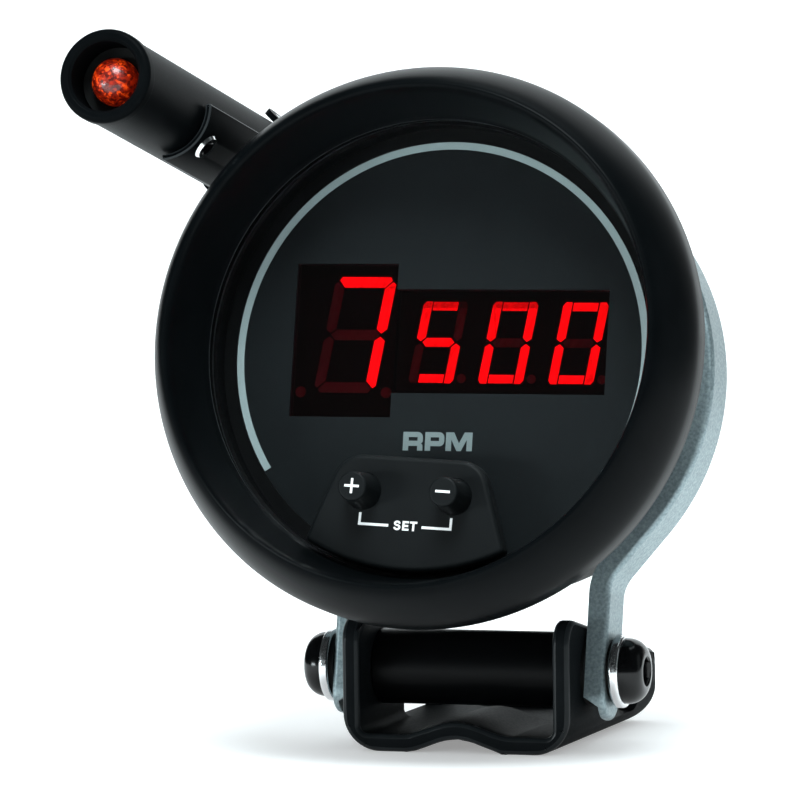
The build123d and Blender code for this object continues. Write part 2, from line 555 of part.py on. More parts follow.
# Segments that light, and those left dark with the decimal points
with BuildPart() as segments_lit:
    with BuildSketch(HEAD.offset(module_face)):
        for outline in lit:
            Polygon(*outline, align=None)
    extrude(amount=SEGMENT_T)
segments_lit.part.label = "segments_lit"
export_step(segments_lit.part, "parts/segments_lit.step")

with BuildPart() as segments_dark:
    with BuildSketch(HEAD.offset(module_face)):
        for outline in unlit:
            Polygon(*outline, align=None)
        with Locations((-25.2, -6.45), (-9.9, -6.45)):
            Circle(0.95)
        with Locations(*((x + small_dot, SMALL_Y - small_drop) for x in small_centres)):
            Circle(0.78)
    extrude(amount=SEGMENT_T)
segments_dark.part.label = "segments_dark"
export_step(segments_dark.part, "parts/segments_dark.step")

# Display board, and the two push switches on it
with BuildPart() as display_board:
    extrude(disc(HEAD.offset(board_back), DISPLAY_BOARD_R), amount=BOARD_T)
    with BuildSketch(HEAD.offset(board_back)):
        with PolarLocations(POST_RADIUS, 4, start_angle=45):
            Circle(1.3)
    extrude(amount=BOARD_T, mode=Mode.SUBTRACT)
display_board.part.label = "display_board"
export_step(display_board.part, "parts/display_board.step")

for side, sign in (("left", -1), ("right", 1)):
    with BuildPart() as push_switch:
        with BuildSketch(KEYS.offset(MODULE_BACK)):
            with Locations((sign * BUTTON_X, BUTTON_Y)):
                Rectangle(6.0, 6.0)
        extrude(amount=3.6)
        with BuildSketch(KEYS.offset(MODULE_BACK + 3.6)):
            with Locations((sign * BUTTON_X, BUTTON_Y)):
                Circle(1.7)
        extrude(amount=SWITCH_TOP - MODULE_BACK - 3.6)
    push_switch.part.label = f"push_switch_{side}"
    export_step(push_switch.part, f"parts/push_switch_{side}.step")

# Main board with its controller, buffer capacitor and the header up to the display board
with BuildPart() as main_board:
    with BuildSketch(HEAD.offset(main_back)):
        Rectangle(MAIN_BOARD_W, MAIN_BOARD_H)
        with GridLocations(MAIN_BOARD_W - 7, MAIN_BOARD_H - 7, 2, 2):
            Circle(1.3, mode=Mode.SUBTRACT)
    extrude(amount=BOARD_T)
main_board.part.label = "main_board"
export_step(main_board.part, "parts/main_board.step")

with BuildPart() as controller:
    extrude(face_of(HEAD.offset(MAIN_BOARD_Z), [(-9, -7), (3, -7), (3, 5), (-9, 5)]), amount=1.4)
controller.part.label = "controller"
export_step(controller.part, "parts/controller.step")

with BuildPart() as capacitor:
    extrude(disc(HEAD.offset(MAIN_BOARD_Z), 4.0, x=MAIN_BOARD_W / 2 - 10, y=10 - MAIN_BOARD_H / 2), amount=9.5)
    fillet(capacitor.edges().filter_by(GeomType.CIRCLE), 0.5)
capacitor.part.label = "capacitor"
export_step(capacitor.part, "parts/capacitor.step")

with BuildPart() as board_header:
    extrude(face_of(HEAD.offset(MAIN_BOARD_Z), [(-13, 9), (13, 9), (13, 12), (-13, 12)]),
            amount=board_back - MAIN_BOARD_Z)
board_header.part.label = "board_header"
export_step(board_header.part, "parts/board_header.step")

# Board screws: four through the display board and four through the main board
corner_x, corner_y = (MAIN_BOARD_W - 7) / 2, (MAIN_BOARD_H - 7) / 2
screws = [("display_screw", MODULE_BACK, POST_RADIUS * cos(pi / 4 + pi / 2 * i),
           POST_RADIUS * sin(pi / 4 + pi / 2 * i), i + 1) for i in range(4)]
screws += [("main_screw", MAIN_BOARD_Z, sx * corner_x, sy * corner_y, i + 1)
           for i, (sx, sy) in enumerate(((1, 1), (-1, 1), (-1, -1), (1, -1)))]
for name, seat, x, y, number in screws:
    with BuildPart() as board_screw:
        extrude(disc(HEAD.offset(seat), 2.2, x=x, y=y), amount=1.3)
        extrude(disc(HEAD.offset(seat), 0.84, x=x, y=y), amount=-7)
        with BuildSketch(HEAD.offset(seat + 1.3)):
            with Locations((x, y)):
                Rectangle(2.6, 0.5)
                Rectangle(0.5, 2.6)
        extrude(amount=-0.7, mode=Mode.SUBTRACT)
    board_screw.part.label = f"{name}_{number}"
    export_step(board_screw.part, f"parts/{name}_{number}.step")

# Key block on the lens, with a bore and a flange recess for each button
KEY_BORE_TOP = 8.3
with BuildPart() as key_block:
    with BuildSketch(KEYS.offset(LENS_TOP)) as key_outline:
        Polygon((-KEY_SHOULDER_X, KEY_TOP_Y), (KEY_SHOULDER_X, KEY_TOP_Y), (KEY_FOOT_X, KEY_FOOT_Y),
                (KEY_FOOT_X, -KEY_ARC_R - 2), (-KEY_FOOT_X, -KEY_ARC_R - 2), (-KEY_FOOT_X, KEY_FOOT_Y),
                align=None)
        Circle(KEY_ARC_R, mode=Mode.INTERSECT)
        fillet(key_outline.vertices().group_by(Axis.Y)[-1], 5.2)
        fillet(key_outline.vertices().group_by(Axis.Y)[0], 0.8)
    extrude(amount=KEY_FACE - LENS_TOP)
    fillet(key_block.faces().filter_by(HEAD).sort_by(HEAD_AXIS)[-1].edges(), 0.9)
    with BuildSketch(KEYS.offset(LENS_TOP - 1)):
        with Locations((-BUTTON_X, BUTTON_Y), (BUTTON_X, BUTTON_Y)):
            Circle(BUTTON_ROOT_R + RUN)
    extrude(amount=KEY_FACE - LENS_TOP + 2, mode=Mode.SUBTRACT)
    with BuildSketch(KEYS.offset(LENS_TOP)):
        with Locations((-BUTTON_X, BUTTON_Y), (BUTTON_X, BUTTON_Y)):
            Circle(BUTTON_FLANGE_R + FREE)
    extrude(amount=KEY_BORE_TOP - LENS_TOP, mode=Mode.SUBTRACT)
key_block.part.label = "key_block"
export_step(key_block.part, "parts/key_block.step")

# Buttons: tapered caps with a retaining flange and a stem down to the switch
for name, sign in (("plus", -1), ("minus", 1)):
    centre = dial_centre + key_right * (sign * BUTTON_X) + key_up * BUTTON_Y
    with BuildPart() as button:
        revolve(face_of(Plane(origin=centre, x_dir=key_right, z_dir=-key_up), [
            (0, SWITCH_TOP + BUTTON_TRAVEL + 0.1), (STEM_R, SWITCH_TOP + BUTTON_TRAVEL + 0.1),
            (STEM_R, KEY_BORE_TOP - 0.6), (BUTTON_FLANGE_R, KEY_BORE_TOP - 0.6),
            (BUTTON_FLANGE_R, KEY_BORE_TOP), (BUTTON_ROOT_R, KEY_BORE_TOP), (BUTTON_ROOT_R, KEY_FACE),
            (BUTTON_R + 0.1, BUTTON_FACE - 0.6), (BUTTON_R, BUTTON_FACE), (0, BUTTON_FACE)],
            [(8, 0.45)]), axis=Axis(centre, head_front))
    button.part.label = f"{name}_button"
    export_step(button.part, f"parts/{name}_button.step")

# Light foot: a U-shaped clip on the strap that holds the light between two ears
ear_gap = LIGHT_R + SLIP
foot_y = STRAP_R - light_reach
ear_half = 4.5
with BuildPart() as light_foot:
    with BuildSketch(LIGHT.offset(STRAP_MID - ear_half)) as foot_outline:
        Polygon((-ear_gap - EAR_T, foot_y), (ear_gap + EAR_T, foot_y), (ear_gap + EAR_T, ear_half),
                (ear_gap, ear_half), (ear_gap, foot_y + EAR_T), (-ear_gap, foot_y + EAR_T),
                (-ear_gap, ear_half), (-ear_gap - EAR_T, ear_half), align=None)
        for corner in ((-ear_gap - EAR_T, foot_y), (ear_gap + EAR_T, foot_y)):
            fillet(foot_outline.vertices().sort_by_distance(Vector(*corner))[0], 2.0)
        for corner in ((-ear_gap, foot_y + EAR_T), (ear_gap, foot_y + EAR_T)):
            fillet(foot_outline.vertices().sort_by_distance(Vector(*corner))[0], 0.8)
    extrude(amount=2 * ear_half)
    tops = [e for e in light_foot.edges().filter_by(Axis(light_centre, light_side))
            if (e.center() - light_centre).dot(light_out) > ear_half - 0.01]
    fillet(tops, ear_half - 0.05)
    bolt_centre = light_centre + head_front * STRAP_MID
    bolt_section = Plane(origin=bolt_centre, x_dir=light_out, z_dir=light_side.cross(light_out) * -1)
    flip = 1 if bolt_section.y_dir.dot(light_side) > 0 else -1
    seat = ear_gap + EAR_T
    cross = Plane(origin=bolt_centre - light_side * 20, x_dir=light_out, z_dir=light_side)
    extrude(disc(cross, LIGHT_BOLT_R + RUN), amount=40, mode=Mode.SUBTRACT)
    extrude(disc(cross, CLINCH_R), amount=20, mode=Mode.SUBTRACT)
    revolve(face_of(bolt_section, [
        (0, flip * (seat + 0.001)), (HEAD_CONE_R, flip * (seat + 0.001)), (LIGHT_BOLT_R, flip * ear_gap),
        (0, flip * ear_gap)]), axis=Axis(bolt_centre, light_side), mode=Mode.SUBTRACT)
    screw_centre = light_centre + light_out * (foot_y - 1) + head_front * STRAP_MID
    extrude(disc(Plane(origin=screw_centre, x_dir=light_side, z_dir=light_out), FOOT_SCREW_R + SLIP), amount=4,
            mode=Mode.SUBTRACT)
light_foot.part.label = "light_foot"
export_step(light_foot.part, "parts/light_foot.step")

# Cross bolt through the ears and the light: its cone head is flush in one ear, its end in the other's nut
with BuildPart() as light_bolt:
    revolve(face_of(bolt_section, [
        (0, -flip * (seat - 0.1)), (LIGHT_BOLT_R, -flip * (seat - 0.1)), (LIGHT_BOLT_R, flip * (ear_gap + RUN)),
        (HEAD_CONE_R - RUN, flip * seat), (0, flip * seat)]), axis=Axis(bolt_centre, light_side))
    extrude(face_of(Plane(origin=bolt_centre + light_side * seat, x_dir=light_out, z_dir=light_side),
                    [(1.25 * cos(pi / 3 * i), 1.25 * sin(pi / 3 * i)) for i in range(6)]),
            amount=-1.3, mode=Mode.SUBTRACT)
light_bolt.part.label = "light_bolt"
export_step(light_bolt.part, "parts/light_bolt.step")

with BuildPart() as light_nut:
    nut_plane = Plane(origin=bolt_centre - light_side * ear_gap, x_dir=light_out, z_dir=-light_side)
    extrude(disc(nut_plane, CLINCH_R, LIGHT_BOLT_R + RUN), amount=EAR_T)
light_nut.part.label = "light_nut"
export_step(light_nut.part, "parts/light_nut.step")

# Screw that fixes the foot to the strap
with BuildPart() as foot_screw:
    foot_top = light_centre + light_out * (foot_y + EAR_T) + head_front * STRAP_MID
    foot_plane = Plane(origin=foot_top, x_dir=light_side, z_dir=light_out)
    extrude(disc(foot_plane, 3.0), amount=1.4)
    extrude(disc(foot_plane, FOOT_SCREW_R), amount=-EAR_T - STRAP_T + 0.6)
    with BuildSketch(foot_plane.offset(1.4)):
        Rectangle(3.6, 0.7)
    extrude(amount=-0.7, mode=Mode.SUBTRACT)
foot_screw.part.label = "foot_screw"
export_step(foot_screw.part, "parts/foot_screw.step")

# Light tube with a rounded mouth, a cross hole and the saddle screw's hole
saddle_down = light_out * -1
saddle_screw_z = SADDLE_FRONT - 4.2
with BuildPart() as light_tube:
    revolve(face_of(LIGHT_SECTION, [
        (LIGHT_BORE, LIGHT_REAR), (LIGHT_R, LIGHT_REAR), (LIGHT_R, LIGHT_FRONT - COLLAR_LENGTH),
        (COLLAR_R, LIGHT_FRONT - COLLAR_LENGTH + 0.5), (COLLAR_R, LIGHT_FRONT), (MOUTH_BORE + 0.5, LIGHT_FRONT),
        (MOUTH_BORE, LIGHT_FRONT - 0.5), (MOUTH_BORE, LIGHT_FRONT - 1.4), (LIGHT_BORE, LIGHT_FRONT - 1.7)],
        [(3, 0.25), (4, 1.0), (5, 0.3)]), axis=LIGHT_AXIS)
    extrude(disc(cross, LIGHT_BOLT_R + RUN), amount=40, mode=Mode.SUBTRACT)
    tap = Plane(origin=light_centre + head_front * saddle_screw_z, x_dir=light_side, z_dir=saddle_down)
    extrude(disc(tap, 1.3), amount=LIGHT_R + 2, mode=Mode.SUBTRACT)
light_tube.part.label = "light_tube"
export_step(light_tube.part, "parts/light_tube.step")

# Saddle: a curved plate along the side of the tube that faces the head
saddle_in = LIGHT_R + FREE
saddle_out = saddle_in + SADDLE_T
with BuildPart() as light_saddle:
    with BuildSketch(LIGHT.offset(SADDLE_FRONT)):
        q = radians(45)
        with BuildLine():
            RadiusArc((-saddle_out * sin(q), -saddle_out * cos(q)), (saddle_out * sin(q), -saddle_out * cos(q)),
                      -saddle_out)
            Line((saddle_out * sin(q), -saddle_out * cos(q)), (saddle_in * sin(q), -saddle_in * cos(q)))
            RadiusArc((saddle_in * sin(q), -saddle_in * cos(q)), (-saddle_in * sin(q), -saddle_in * cos(q)),
                      saddle_in)
            Line((-saddle_in * sin(q), -saddle_in * cos(q)), (-saddle_out * sin(q), -saddle_out * cos(q)))
        make_face()
    extrude(amount=-(SADDLE_FRONT - LIGHT_REAR - 2))
    extrude(disc(tap, 1.3), amount=LIGHT_R + 2, mode=Mode.SUBTRACT)
light_saddle.part.label = "light_saddle"
export_step(light_saddle.part, "parts/light_saddle.step")

# Plated hollow rivet that holds the saddle to the tube
with BuildPart() as saddle_rivet:
    rivet_section = Plane(origin=light_centre + head_front * saddle_screw_z, x_dir=light_side,
                          z_dir=light_side.cross(saddle_down))
    flip = 1 if rivet_section.y_dir.dot(saddle_down) > 0 else -1
    revolve(face_of(rivet_section, [
        (0.75, flip * (LIGHT_BORE - 0.5)), (1.24, flip * (LIGHT_BORE - 0.5)), (1.24, flip * (saddle_out + 0.03)),
        (2.3, flip * (saddle_out + 0.03)), (2.0, flip * (saddle_out + 0.6)),
        (1.3, flip * (saddle_out + 0.6)), (0.75, flip * (saddle_out + 0.1))]),
        axis=Axis(light_centre + head_front * saddle_screw_z, saddle_down))
saddle_rivet.part.label = "saddle_rivet"
export_step(saddle_rivet.part, "parts/saddle_rivet.step")

# Lamp socket deep in the tube, the amber lamp in it, and the plug at the back
with BuildPart() as lamp_socket:
    revolve(face_of(LIGHT_SECTION, [
        (0, SOCKET_FACE - 9), (LIGHT_BORE - FREE, SOCKET_FACE - 9), (LIGHT_BORE - FREE, SOCKET_FACE),
        (LAMP_R - 0.35, SOCKET_FACE), (LAMP_R - 0.35, SOCKET_FACE - 3), (0, SOCKET_FACE - 3)]), axis=LIGHT_AXIS)
lamp_socket.part.label = "lamp_socket"
export_step(lamp_socket.part, "parts/lamp_socket.step")

with BuildPart() as amber_lamp:
    with BuildSketch(LIGHT_SECTION):
        with BuildLine():
            Polyline((0, SOCKET_FACE - 3), (LAMP_R - 0.65, SOCKET_FACE - 3), (LAMP_R - 0.65, SOCKET_FACE),
                     (LAMP_R, SOCKET_FACE), (LAMP_R, SOCKET_FACE + 0.8))
            Spline((LAMP_R, SOCKET_FACE + 0.8), (LAMP_R * 0.77, SOCKET_FACE + 3.0), (0, SOCKET_FACE + 4.3),
                   tangents=((0, 1), (-1, 0)))
            Line((0, SOCKET_FACE + 4.3), (0, SOCKET_FACE - 3))
        make_face()
    revolve(axis=LIGHT_AXIS)
amber_lamp.part.label = "amber_lamp"
export_step(amber_lamp.part, "parts/amber_lamp.step")

with BuildPart() as light_plug:
    revolve(face_of(LIGHT_SECTION, [
        (1.6, LIGHT_REAR - 3.4), (2.8, LIGHT_REAR - 3.4), (3.6, LIGHT_REAR - 1.8), (LIGHT_R, LIGHT_REAR - 1.8),
        (LIGHT_R, LIGHT_REAR), (LIGHT_BORE - FREE, LIGHT_REAR), (LIGHT_BORE - FREE, LIGHT_REAR + 4),
        (1.6, LIGHT_REAR + 4)], [(3, 0.8)]), axis=LIGHT_AXIS)
light_plug.part.label = "light_plug"
export_step(light_plug.part, "parts/light_plug.step")
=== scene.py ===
# %% [markdown]
# # An electronic tachometer, dressed for its portrait
#
# The gauge is a deep black bezel round a flat dial. A lit red number shows through a smoked window,
# two rubber keys sit below it, a grey strap carries it on a folded stand, and a slim warning light
# points forward beside it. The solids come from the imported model. This script gives them their
# finishes, rebuilds the pieces whose curves matter most, prints the lettering, and lights the set.
#
# Everything is in metres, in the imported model's own frame: X to the right, the dial faces -Y, Z up.

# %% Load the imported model
import json
import math

import bpy
import bmesh
from mathutils import Matrix, Vector

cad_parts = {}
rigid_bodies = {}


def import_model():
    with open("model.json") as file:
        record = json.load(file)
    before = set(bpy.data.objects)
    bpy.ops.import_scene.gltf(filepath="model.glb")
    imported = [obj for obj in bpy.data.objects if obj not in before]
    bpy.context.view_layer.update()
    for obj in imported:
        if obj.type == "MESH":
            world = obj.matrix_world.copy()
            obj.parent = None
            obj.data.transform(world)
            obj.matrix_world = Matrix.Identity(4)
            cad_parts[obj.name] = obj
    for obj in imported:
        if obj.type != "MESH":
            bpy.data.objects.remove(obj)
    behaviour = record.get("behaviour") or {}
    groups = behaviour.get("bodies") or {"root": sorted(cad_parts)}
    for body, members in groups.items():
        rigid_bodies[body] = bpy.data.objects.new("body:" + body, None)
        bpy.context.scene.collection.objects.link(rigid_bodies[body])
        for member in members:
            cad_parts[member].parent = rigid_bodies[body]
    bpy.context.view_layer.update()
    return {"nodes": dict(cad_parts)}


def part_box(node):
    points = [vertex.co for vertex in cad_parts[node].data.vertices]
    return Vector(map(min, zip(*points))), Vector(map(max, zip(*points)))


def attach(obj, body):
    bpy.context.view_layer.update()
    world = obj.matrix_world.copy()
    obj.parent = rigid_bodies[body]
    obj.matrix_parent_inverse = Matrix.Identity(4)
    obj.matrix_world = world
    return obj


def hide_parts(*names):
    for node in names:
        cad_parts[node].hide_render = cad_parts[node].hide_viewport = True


for leftover in list(bpy.data.objects):
    bpy.data.objects.remove(leftover)

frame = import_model()
nodes = frame["nodes"]

# %% [markdown]
# ## The head's own frame
#
# The head leans back by 13 degrees, so its pieces are easier to place in a frame of its own: x to
# the right across the dial, y up the dial, z out of the dial towards the reader, in millimetres,
# with zero in the middle of the dial's face. One matrix takes these places to the row frame. The
# keys have a second frame, turned by 2.7 degrees about the same centre, as on the real gauge.

# %% Frames for the head and for the keys
MM = 0.001
TILT = math.radians(13.0)
KEY_TURN = math.radians(-2.7)
DIAL_CENTRE = Vector((0.0, -31.781, 68.650)) * MM

right = Vector((1, 0, 0))
head_up = Vector((0, math.sin(TILT), math.cos(TILT)))
head_front = Vector((0, -math.cos(TILT), math.sin(TILT)))


def frame_of(x_way, y_way, z_way, origin):
    """A matrix from millimetres in a piece's own frame to metres in the row frame."""
    turn = Matrix((x_way, y_way, z_way)).transposed().to_4x4()
    return Matrix.Translation(origin) @ turn @ Matrix.Scale(MM, 4)


HEAD = frame_of(right, head_up, head_front, DIAL_CENTRE)
KEYS = HEAD @ Matrix.Rotation(KEY_TURN, 4, "Z")
print("dial centre:", [round(c, 2) for c in DIAL_CENTRE / MM])

# %% [markdown]
# ## The camera
#
# The photograph was taken from about 1.1 m away with a long lens, from the right of the dial's axis
# and a little below it. A long lens keeps the near and far parts of the gauge at nearly the same
# size. Three angles, measured from the dial's own axis, say where the camera stands and how it is
# rolled, and the offset says where the dial's middle lies from the camera, in millimetres.

# %% Camera at the photograph's place
IMAGE_SIDE = 800
FOCAL_PIXELS = 6500
SENSOR = 36.0
TO_THE_RIGHT, BELOW, ROLL = 18.368, 8.310, 3.338
dial_from_camera = Vector((6.99, 7.73, -1100.0))

camera_data = bpy.data.cameras.new("camera")
camera_data.sensor_width = SENSOR
camera_data.lens = FOCAL_PIXELS / IMAGE_SIDE * SENSOR
camera_data.clip_start, camera_data.clip_end = 0.01, 20.0
camera = bpy.data.objects.new("camera", camera_data)
bpy.context.scene.collection.objects.link(camera)

view_turn = Matrix.Identity(3)
for angle, axis in ((TO_THE_RIGHT, "Y"), (BELOW, "X"), (ROLL, "Z")):
    view_turn = view_turn @ Matrix.Rotation(math.radians(angle), 3, axis)
camera_place = HEAD @ -(view_turn @ dial_from_camera)
head_turn = Matrix((right, head_up, head_front)).transposed()
camera.matrix_world = Matrix.Translation(camera_place) @ (head_turn @ view_turn).to_4x4()
bpy.context.scene.camera = camera
print("camera at:", [round(c, 3) for c in camera.matrix_world.translation], "lens:", camera_data.lens)

# %% [markdown]
# ## A finish that is never one flat colour
#
# Real paint, rubber and plating change a little from place to place. Each finish here mixes two
# close colours with a broad noise, varies its roughness with a finer one, and pushes the surface
# in and out with the finest, which is the grain the eye sees in a highlight. The noise reads the
# object's own coordinates, so it stays on the piece when the piece moves.

# %% Helpers for solid finishes
def new_material(name):
    """An empty node material with its output and its tree."""
    material = bpy.data.materials.new(name)
    material.use_nodes = True
    tree = material.node_tree
    tree.nodes.clear()
    output = tree.nodes.new("ShaderNodeOutputMaterial")
    return material, tree, output


def noise(tree, size_mm, detail=2.0, stretch=(1, 1, 1)):
    """A noise whose spots are about size_mm wide, in the object's coordinates."""
    coords = tree.nodes.new("ShaderNodeTexCoord")
    mapping = tree.nodes.new("ShaderNodeMapping")
    mapping.inputs["Scale"].default_value = stretch
    spots = tree.nodes.new("ShaderNodeTexNoise")
    spots.inputs["Scale"].default_value = 1.0 / (size_mm * MM)
    spots.inputs["Detail"].default_value = detail
    tree.links.new(coords.outputs["Object"], mapping.inputs["Vector"])
    tree.links.new(mapping.outputs["Vector"], spots.inputs["Vector"])
    return spots


def ramp(tree, source, low, high, start=0.3, end=0.7):
    """The source's middle range spread over low to high."""
    spread = tree.nodes.new("ShaderNodeMapRange")
    spread.inputs["From Min"].default_value = start
    spread.inputs["From Max"].default_value = end
    spread.inputs["To Min"].default_value = low
    spread.inputs["To Max"].default_value = high
    tree.links.new(source.outputs[0], spread.inputs["Value"])
    return spread


def two_tone(tree, source, dark, light):
    """A colour that goes from dark to light with the source."""
    mix = tree.nodes.new("ShaderNodeMix")
    mix.data_type = "RGBA"
    mix.inputs["A"].default_value = (*dark, 1)
    mix.inputs["B"].default_value = (*light, 1)
    tree.links.new(ramp(tree, source, 0.0, 1.0).outputs["Result"], mix.inputs["Factor"])
    return mix


def solid_finish(name, dark, light, rough, rough_spread=0.06, grain_mm=0.25, grain_depth_mm=0.01,
                 patch_mm=6.0, metallic=0.0, specular=0.5, stretch=(1, 1, 1), detail=2.0):
    """Paint, plastic, rubber or metal: two close colours, uneven gloss and a fine grain."""
    material, tree, output = new_material(name)
    surface = tree.nodes.new("ShaderNodeBsdfPrincipled")
    surface.inputs["Metallic"].default_value = metallic
    surface.inputs["Specular IOR Level"].default_value = specular
    patches = noise(tree, patch_mm, 3.0)
    grain = noise(tree, grain_mm, detail, stretch)
    tree.links.new(two_tone(tree, patches, dark, light).outputs["Result"], surface.inputs["Base Color"])
    gloss = ramp(tree, grain, rough - rough_spread, rough + rough_spread)
    tree.links.new(gloss.outputs["Result"], surface.inputs["Roughness"])
    bump = tree.nodes.new("ShaderNodeBump")
    bump.inputs["Strength"].default_value = 1.0
    bump.inputs["Distance"].default_value = grain_depth_mm * MM
    tree.links.new(grain.outputs["Fac"], bump.inputs["Height"])
    tree.links.new(bump.outputs["Normal"], surface.inputs["Normal"])
    tree.links.new(surface.outputs["BSDF"], output.inputs["Surface"])
    return material


print("helpers for finishes:", [f.__name__ for f in (new_material, noise, ramp, two_tone, solid_finish)])

# %% [markdown]
# ## Blacks that differ in their shine
#
# Nearly everything on this gauge is black, and what tells the pieces apart is how they shine. The
# bezel is satin and smooth, the stand has a thicker powder coat with a soft orange peel, the bolts
# are glossy black oxide, the keys are dull rubber and the dial has a fine dry texture. So each one
# gets its own roughness and grain, and only slightly different darkness. Two paler finishes paint
# highlights on narrow edges, which catch more light than the flats beside them.

# %% Black finishes
bezel_black = solid_finish("bezel_black", (0.0015, 0.0021, 0.0025), (0.0021, 0.0028, 0.0033), 0.33,
                           rough_spread=0.02, grain_mm=0.12, grain_depth_mm=0.0010, specular=0.035)
case_black = solid_finish("case_black", (0.003, 0.0035, 0.004), (0.004, 0.0045, 0.005), 0.42,
                          grain_mm=0.15, grain_depth_mm=0.002, specular=0.18)
powder_black = solid_finish("powder_black", (0.0048, 0.0060, 0.0068), (0.0066, 0.0080, 0.0090), 0.56,
                            rough_spread=0.05, grain_mm=0.45, grain_depth_mm=0.006, detail=1.0,
                            specular=0.018)
oxide_black = solid_finish("oxide_black", (0.0012, 0.0014, 0.0016), (0.0018, 0.0020, 0.0023), 0.16,
                           rough_spread=0.02, grain_mm=0.3, grain_depth_mm=0.0005, specular=0.30)
spacer_black = solid_finish("spacer_black", (0.0012, 0.0014, 0.0016), (0.0016, 0.0018, 0.0021), 0.34,
                            rough_spread=0.02, grain_mm=0.2, grain_depth_mm=0.0006, specular=0.08)
nylon_black = solid_finish("nylon_black", (0.003, 0.003, 0.003), (0.004, 0.004, 0.004), 0.6,
                           specular=0.15)
rubber_black = solid_finish("rubber_black", (0.005, 0.006, 0.006), (0.008, 0.009, 0.009), 0.62,
                            grain_mm=0.1, grain_depth_mm=0.003, specular=0.2)
key_black = solid_finish("key_black", (0.0026, 0.0037, 0.0043), (0.0034, 0.0047, 0.0053), 0.55,
                         rough_spread=0.05, grain_mm=0.1, grain_depth_mm=0.002, specular=0.15)
dial_black = solid_finish("dial_black", (0.0042, 0.0062, 0.0074), (0.0051, 0.0075, 0.0087), 0.60,
                          rough_spread=0.08, grain_mm=0.14, grain_depth_mm=0.003, specular=0.15)
ring_black = solid_finish("ring_black", (0.0012, 0.0014, 0.0017), (0.0018, 0.0021, 0.0025), 0.5,
                          specular=0.12)
tube_black = solid_finish("tube_black", (0.0018, 0.0024, 0.0028), (0.0026, 0.0033, 0.0038), 0.40,
                          rough_spread=0.04, grain_mm=0.12, grain_depth_mm=0.0012, specular=0.014)
# Paler and glossier than the stand's black: a painted highlight for its rounded edges.
powder_painted_highlight = solid_finish("powder_painted_highlight", (0.0080, 0.0100, 0.0112), (0.0115, 0.0140, 0.0155), 0.32,
                           rough_spread=0.04, grain_mm=0.45, grain_depth_mm=0.004, specular=0.16)
# A pale grey for thin lines along edges: a painted highlight.
painted_highlight_grey = solid_finish("painted_highlight_grey", (0.018, 0.021, 0.023), (0.026, 0.030, 0.032), 0.4, specular=0.2)
print("black and edge finishes:", [m.name for m in bpy.data.materials])

# %% [markdown]
# ## Grey strap, bright washers and the hidden works
#
# The strap is steel with a grainy silver-grey coat: partly metal in its reflection, rough, and with
# grains about a third of a millimetre wide. The washers and the rivet are bright plating with fine
# turning marks. The boards and chips can't be seen from outside, but they are dressed too, because
# the model may be opened.

# %% Metals, boards and small parts
strap_grey = solid_finish("strap_grey", (0.19, 0.245, 0.262), (0.33, 0.405, 0.425), 0.46,
                          rough_spread=0.10, grain_mm=0.30, grain_depth_mm=0.03, patch_mm=0.5,
                          metallic=0.75, detail=3.0)
bright_plate = solid_finish("bright_plate", (0.72, 0.73, 0.74), (0.80, 0.81, 0.82), 0.20,
                            rough_spread=0.06, grain_mm=0.5, grain_depth_mm=0.003, metallic=1.0)
zinc_plate = solid_finish("zinc_plate", (0.50, 0.51, 0.53), (0.58, 0.59, 0.60), 0.35, metallic=1.0)
can_metal = solid_finish("can_metal", (0.60, 0.60, 0.62), (0.68, 0.68, 0.70), 0.3, metallic=1.0)
board_green = solid_finish("board_green", (0.012, 0.085, 0.035), (0.018, 0.11, 0.045), 0.35)
chip_black = solid_finish("chip_black", (0.012, 0.012, 0.013), (0.018, 0.018, 0.02), 0.55)
arc_silver = solid_finish("arc_silver", (0.30, 0.38, 0.385), (0.33, 0.41, 0.415), 0.5,
                          grain_mm=0.12, grain_depth_mm=0.002, specular=0.3)
ink_grey = solid_finish("ink_grey", (0.155, 0.20, 0.203), (0.18, 0.225, 0.228), 0.55,
                        grain_mm=0.12, grain_depth_mm=0.002, specular=0.3)
ink_white = solid_finish("ink_white", (0.82, 0.83, 0.83), (0.90, 0.91, 0.91), 0.55,
                         grain_mm=0.1, grain_depth_mm=0.002, specular=0.3)
print("materials so far:", len(bpy.data.materials))

# %% [markdown]
# ## Clear lens and smoked window
#
# A thick block of refracting glass over a black dial would mostly swallow the light of the lamps.
# What the eye sees of a clean lens is the gloss on top and whatever is under it, so the lens mixes
# a see-through shader with a mirror-like one and lets the Fresnel angle choose between them. The
# window in front of the digits is the same, with a dark red see-through colour.

# %% Two see-through finishes
WIPE_MM = 9.0


def clear_finish(name, tint, gloss_rough, ior, smear=0.006):
    """A see-through sheet with a glossy top whose strength follows the viewing angle."""
    material, tree, output = new_material(name)
    through = tree.nodes.new("ShaderNodeBsdfTransparent")
    through.inputs["Color"].default_value = (*tint, 1)
    gloss = tree.nodes.new("ShaderNodeBsdfGlossy")
    gloss.inputs["Color"].default_value = (1, 1, 1, 1)
    wipe = ramp(tree, noise(tree, WIPE_MM, 1.0), gloss_rough, gloss_rough + smear)
    tree.links.new(wipe.outputs["Result"], gloss.inputs["Roughness"])
    angle = tree.nodes.new("ShaderNodeFresnel")
    angle.inputs["IOR"].default_value = ior
    mix = tree.nodes.new("ShaderNodeMixShader")
    tree.links.new(angle.outputs["Fac"], mix.inputs["Fac"])
    tree.links.new(through.outputs["BSDF"], mix.inputs[1])
    tree.links.new(gloss.outputs["BSDF"], mix.inputs[2])
    tree.links.new(mix.outputs["Shader"], output.inputs["Surface"])
    return material


lens_clear = clear_finish("lens_clear", (0.99, 0.995, 0.995), 0.10, 1.15)
window_smoked = clear_finish("window_smoked", (0.62, 0.30, 0.34), 0.25, 1.10)
print("see-through finishes:", lens_clear.name, window_smoked.name)

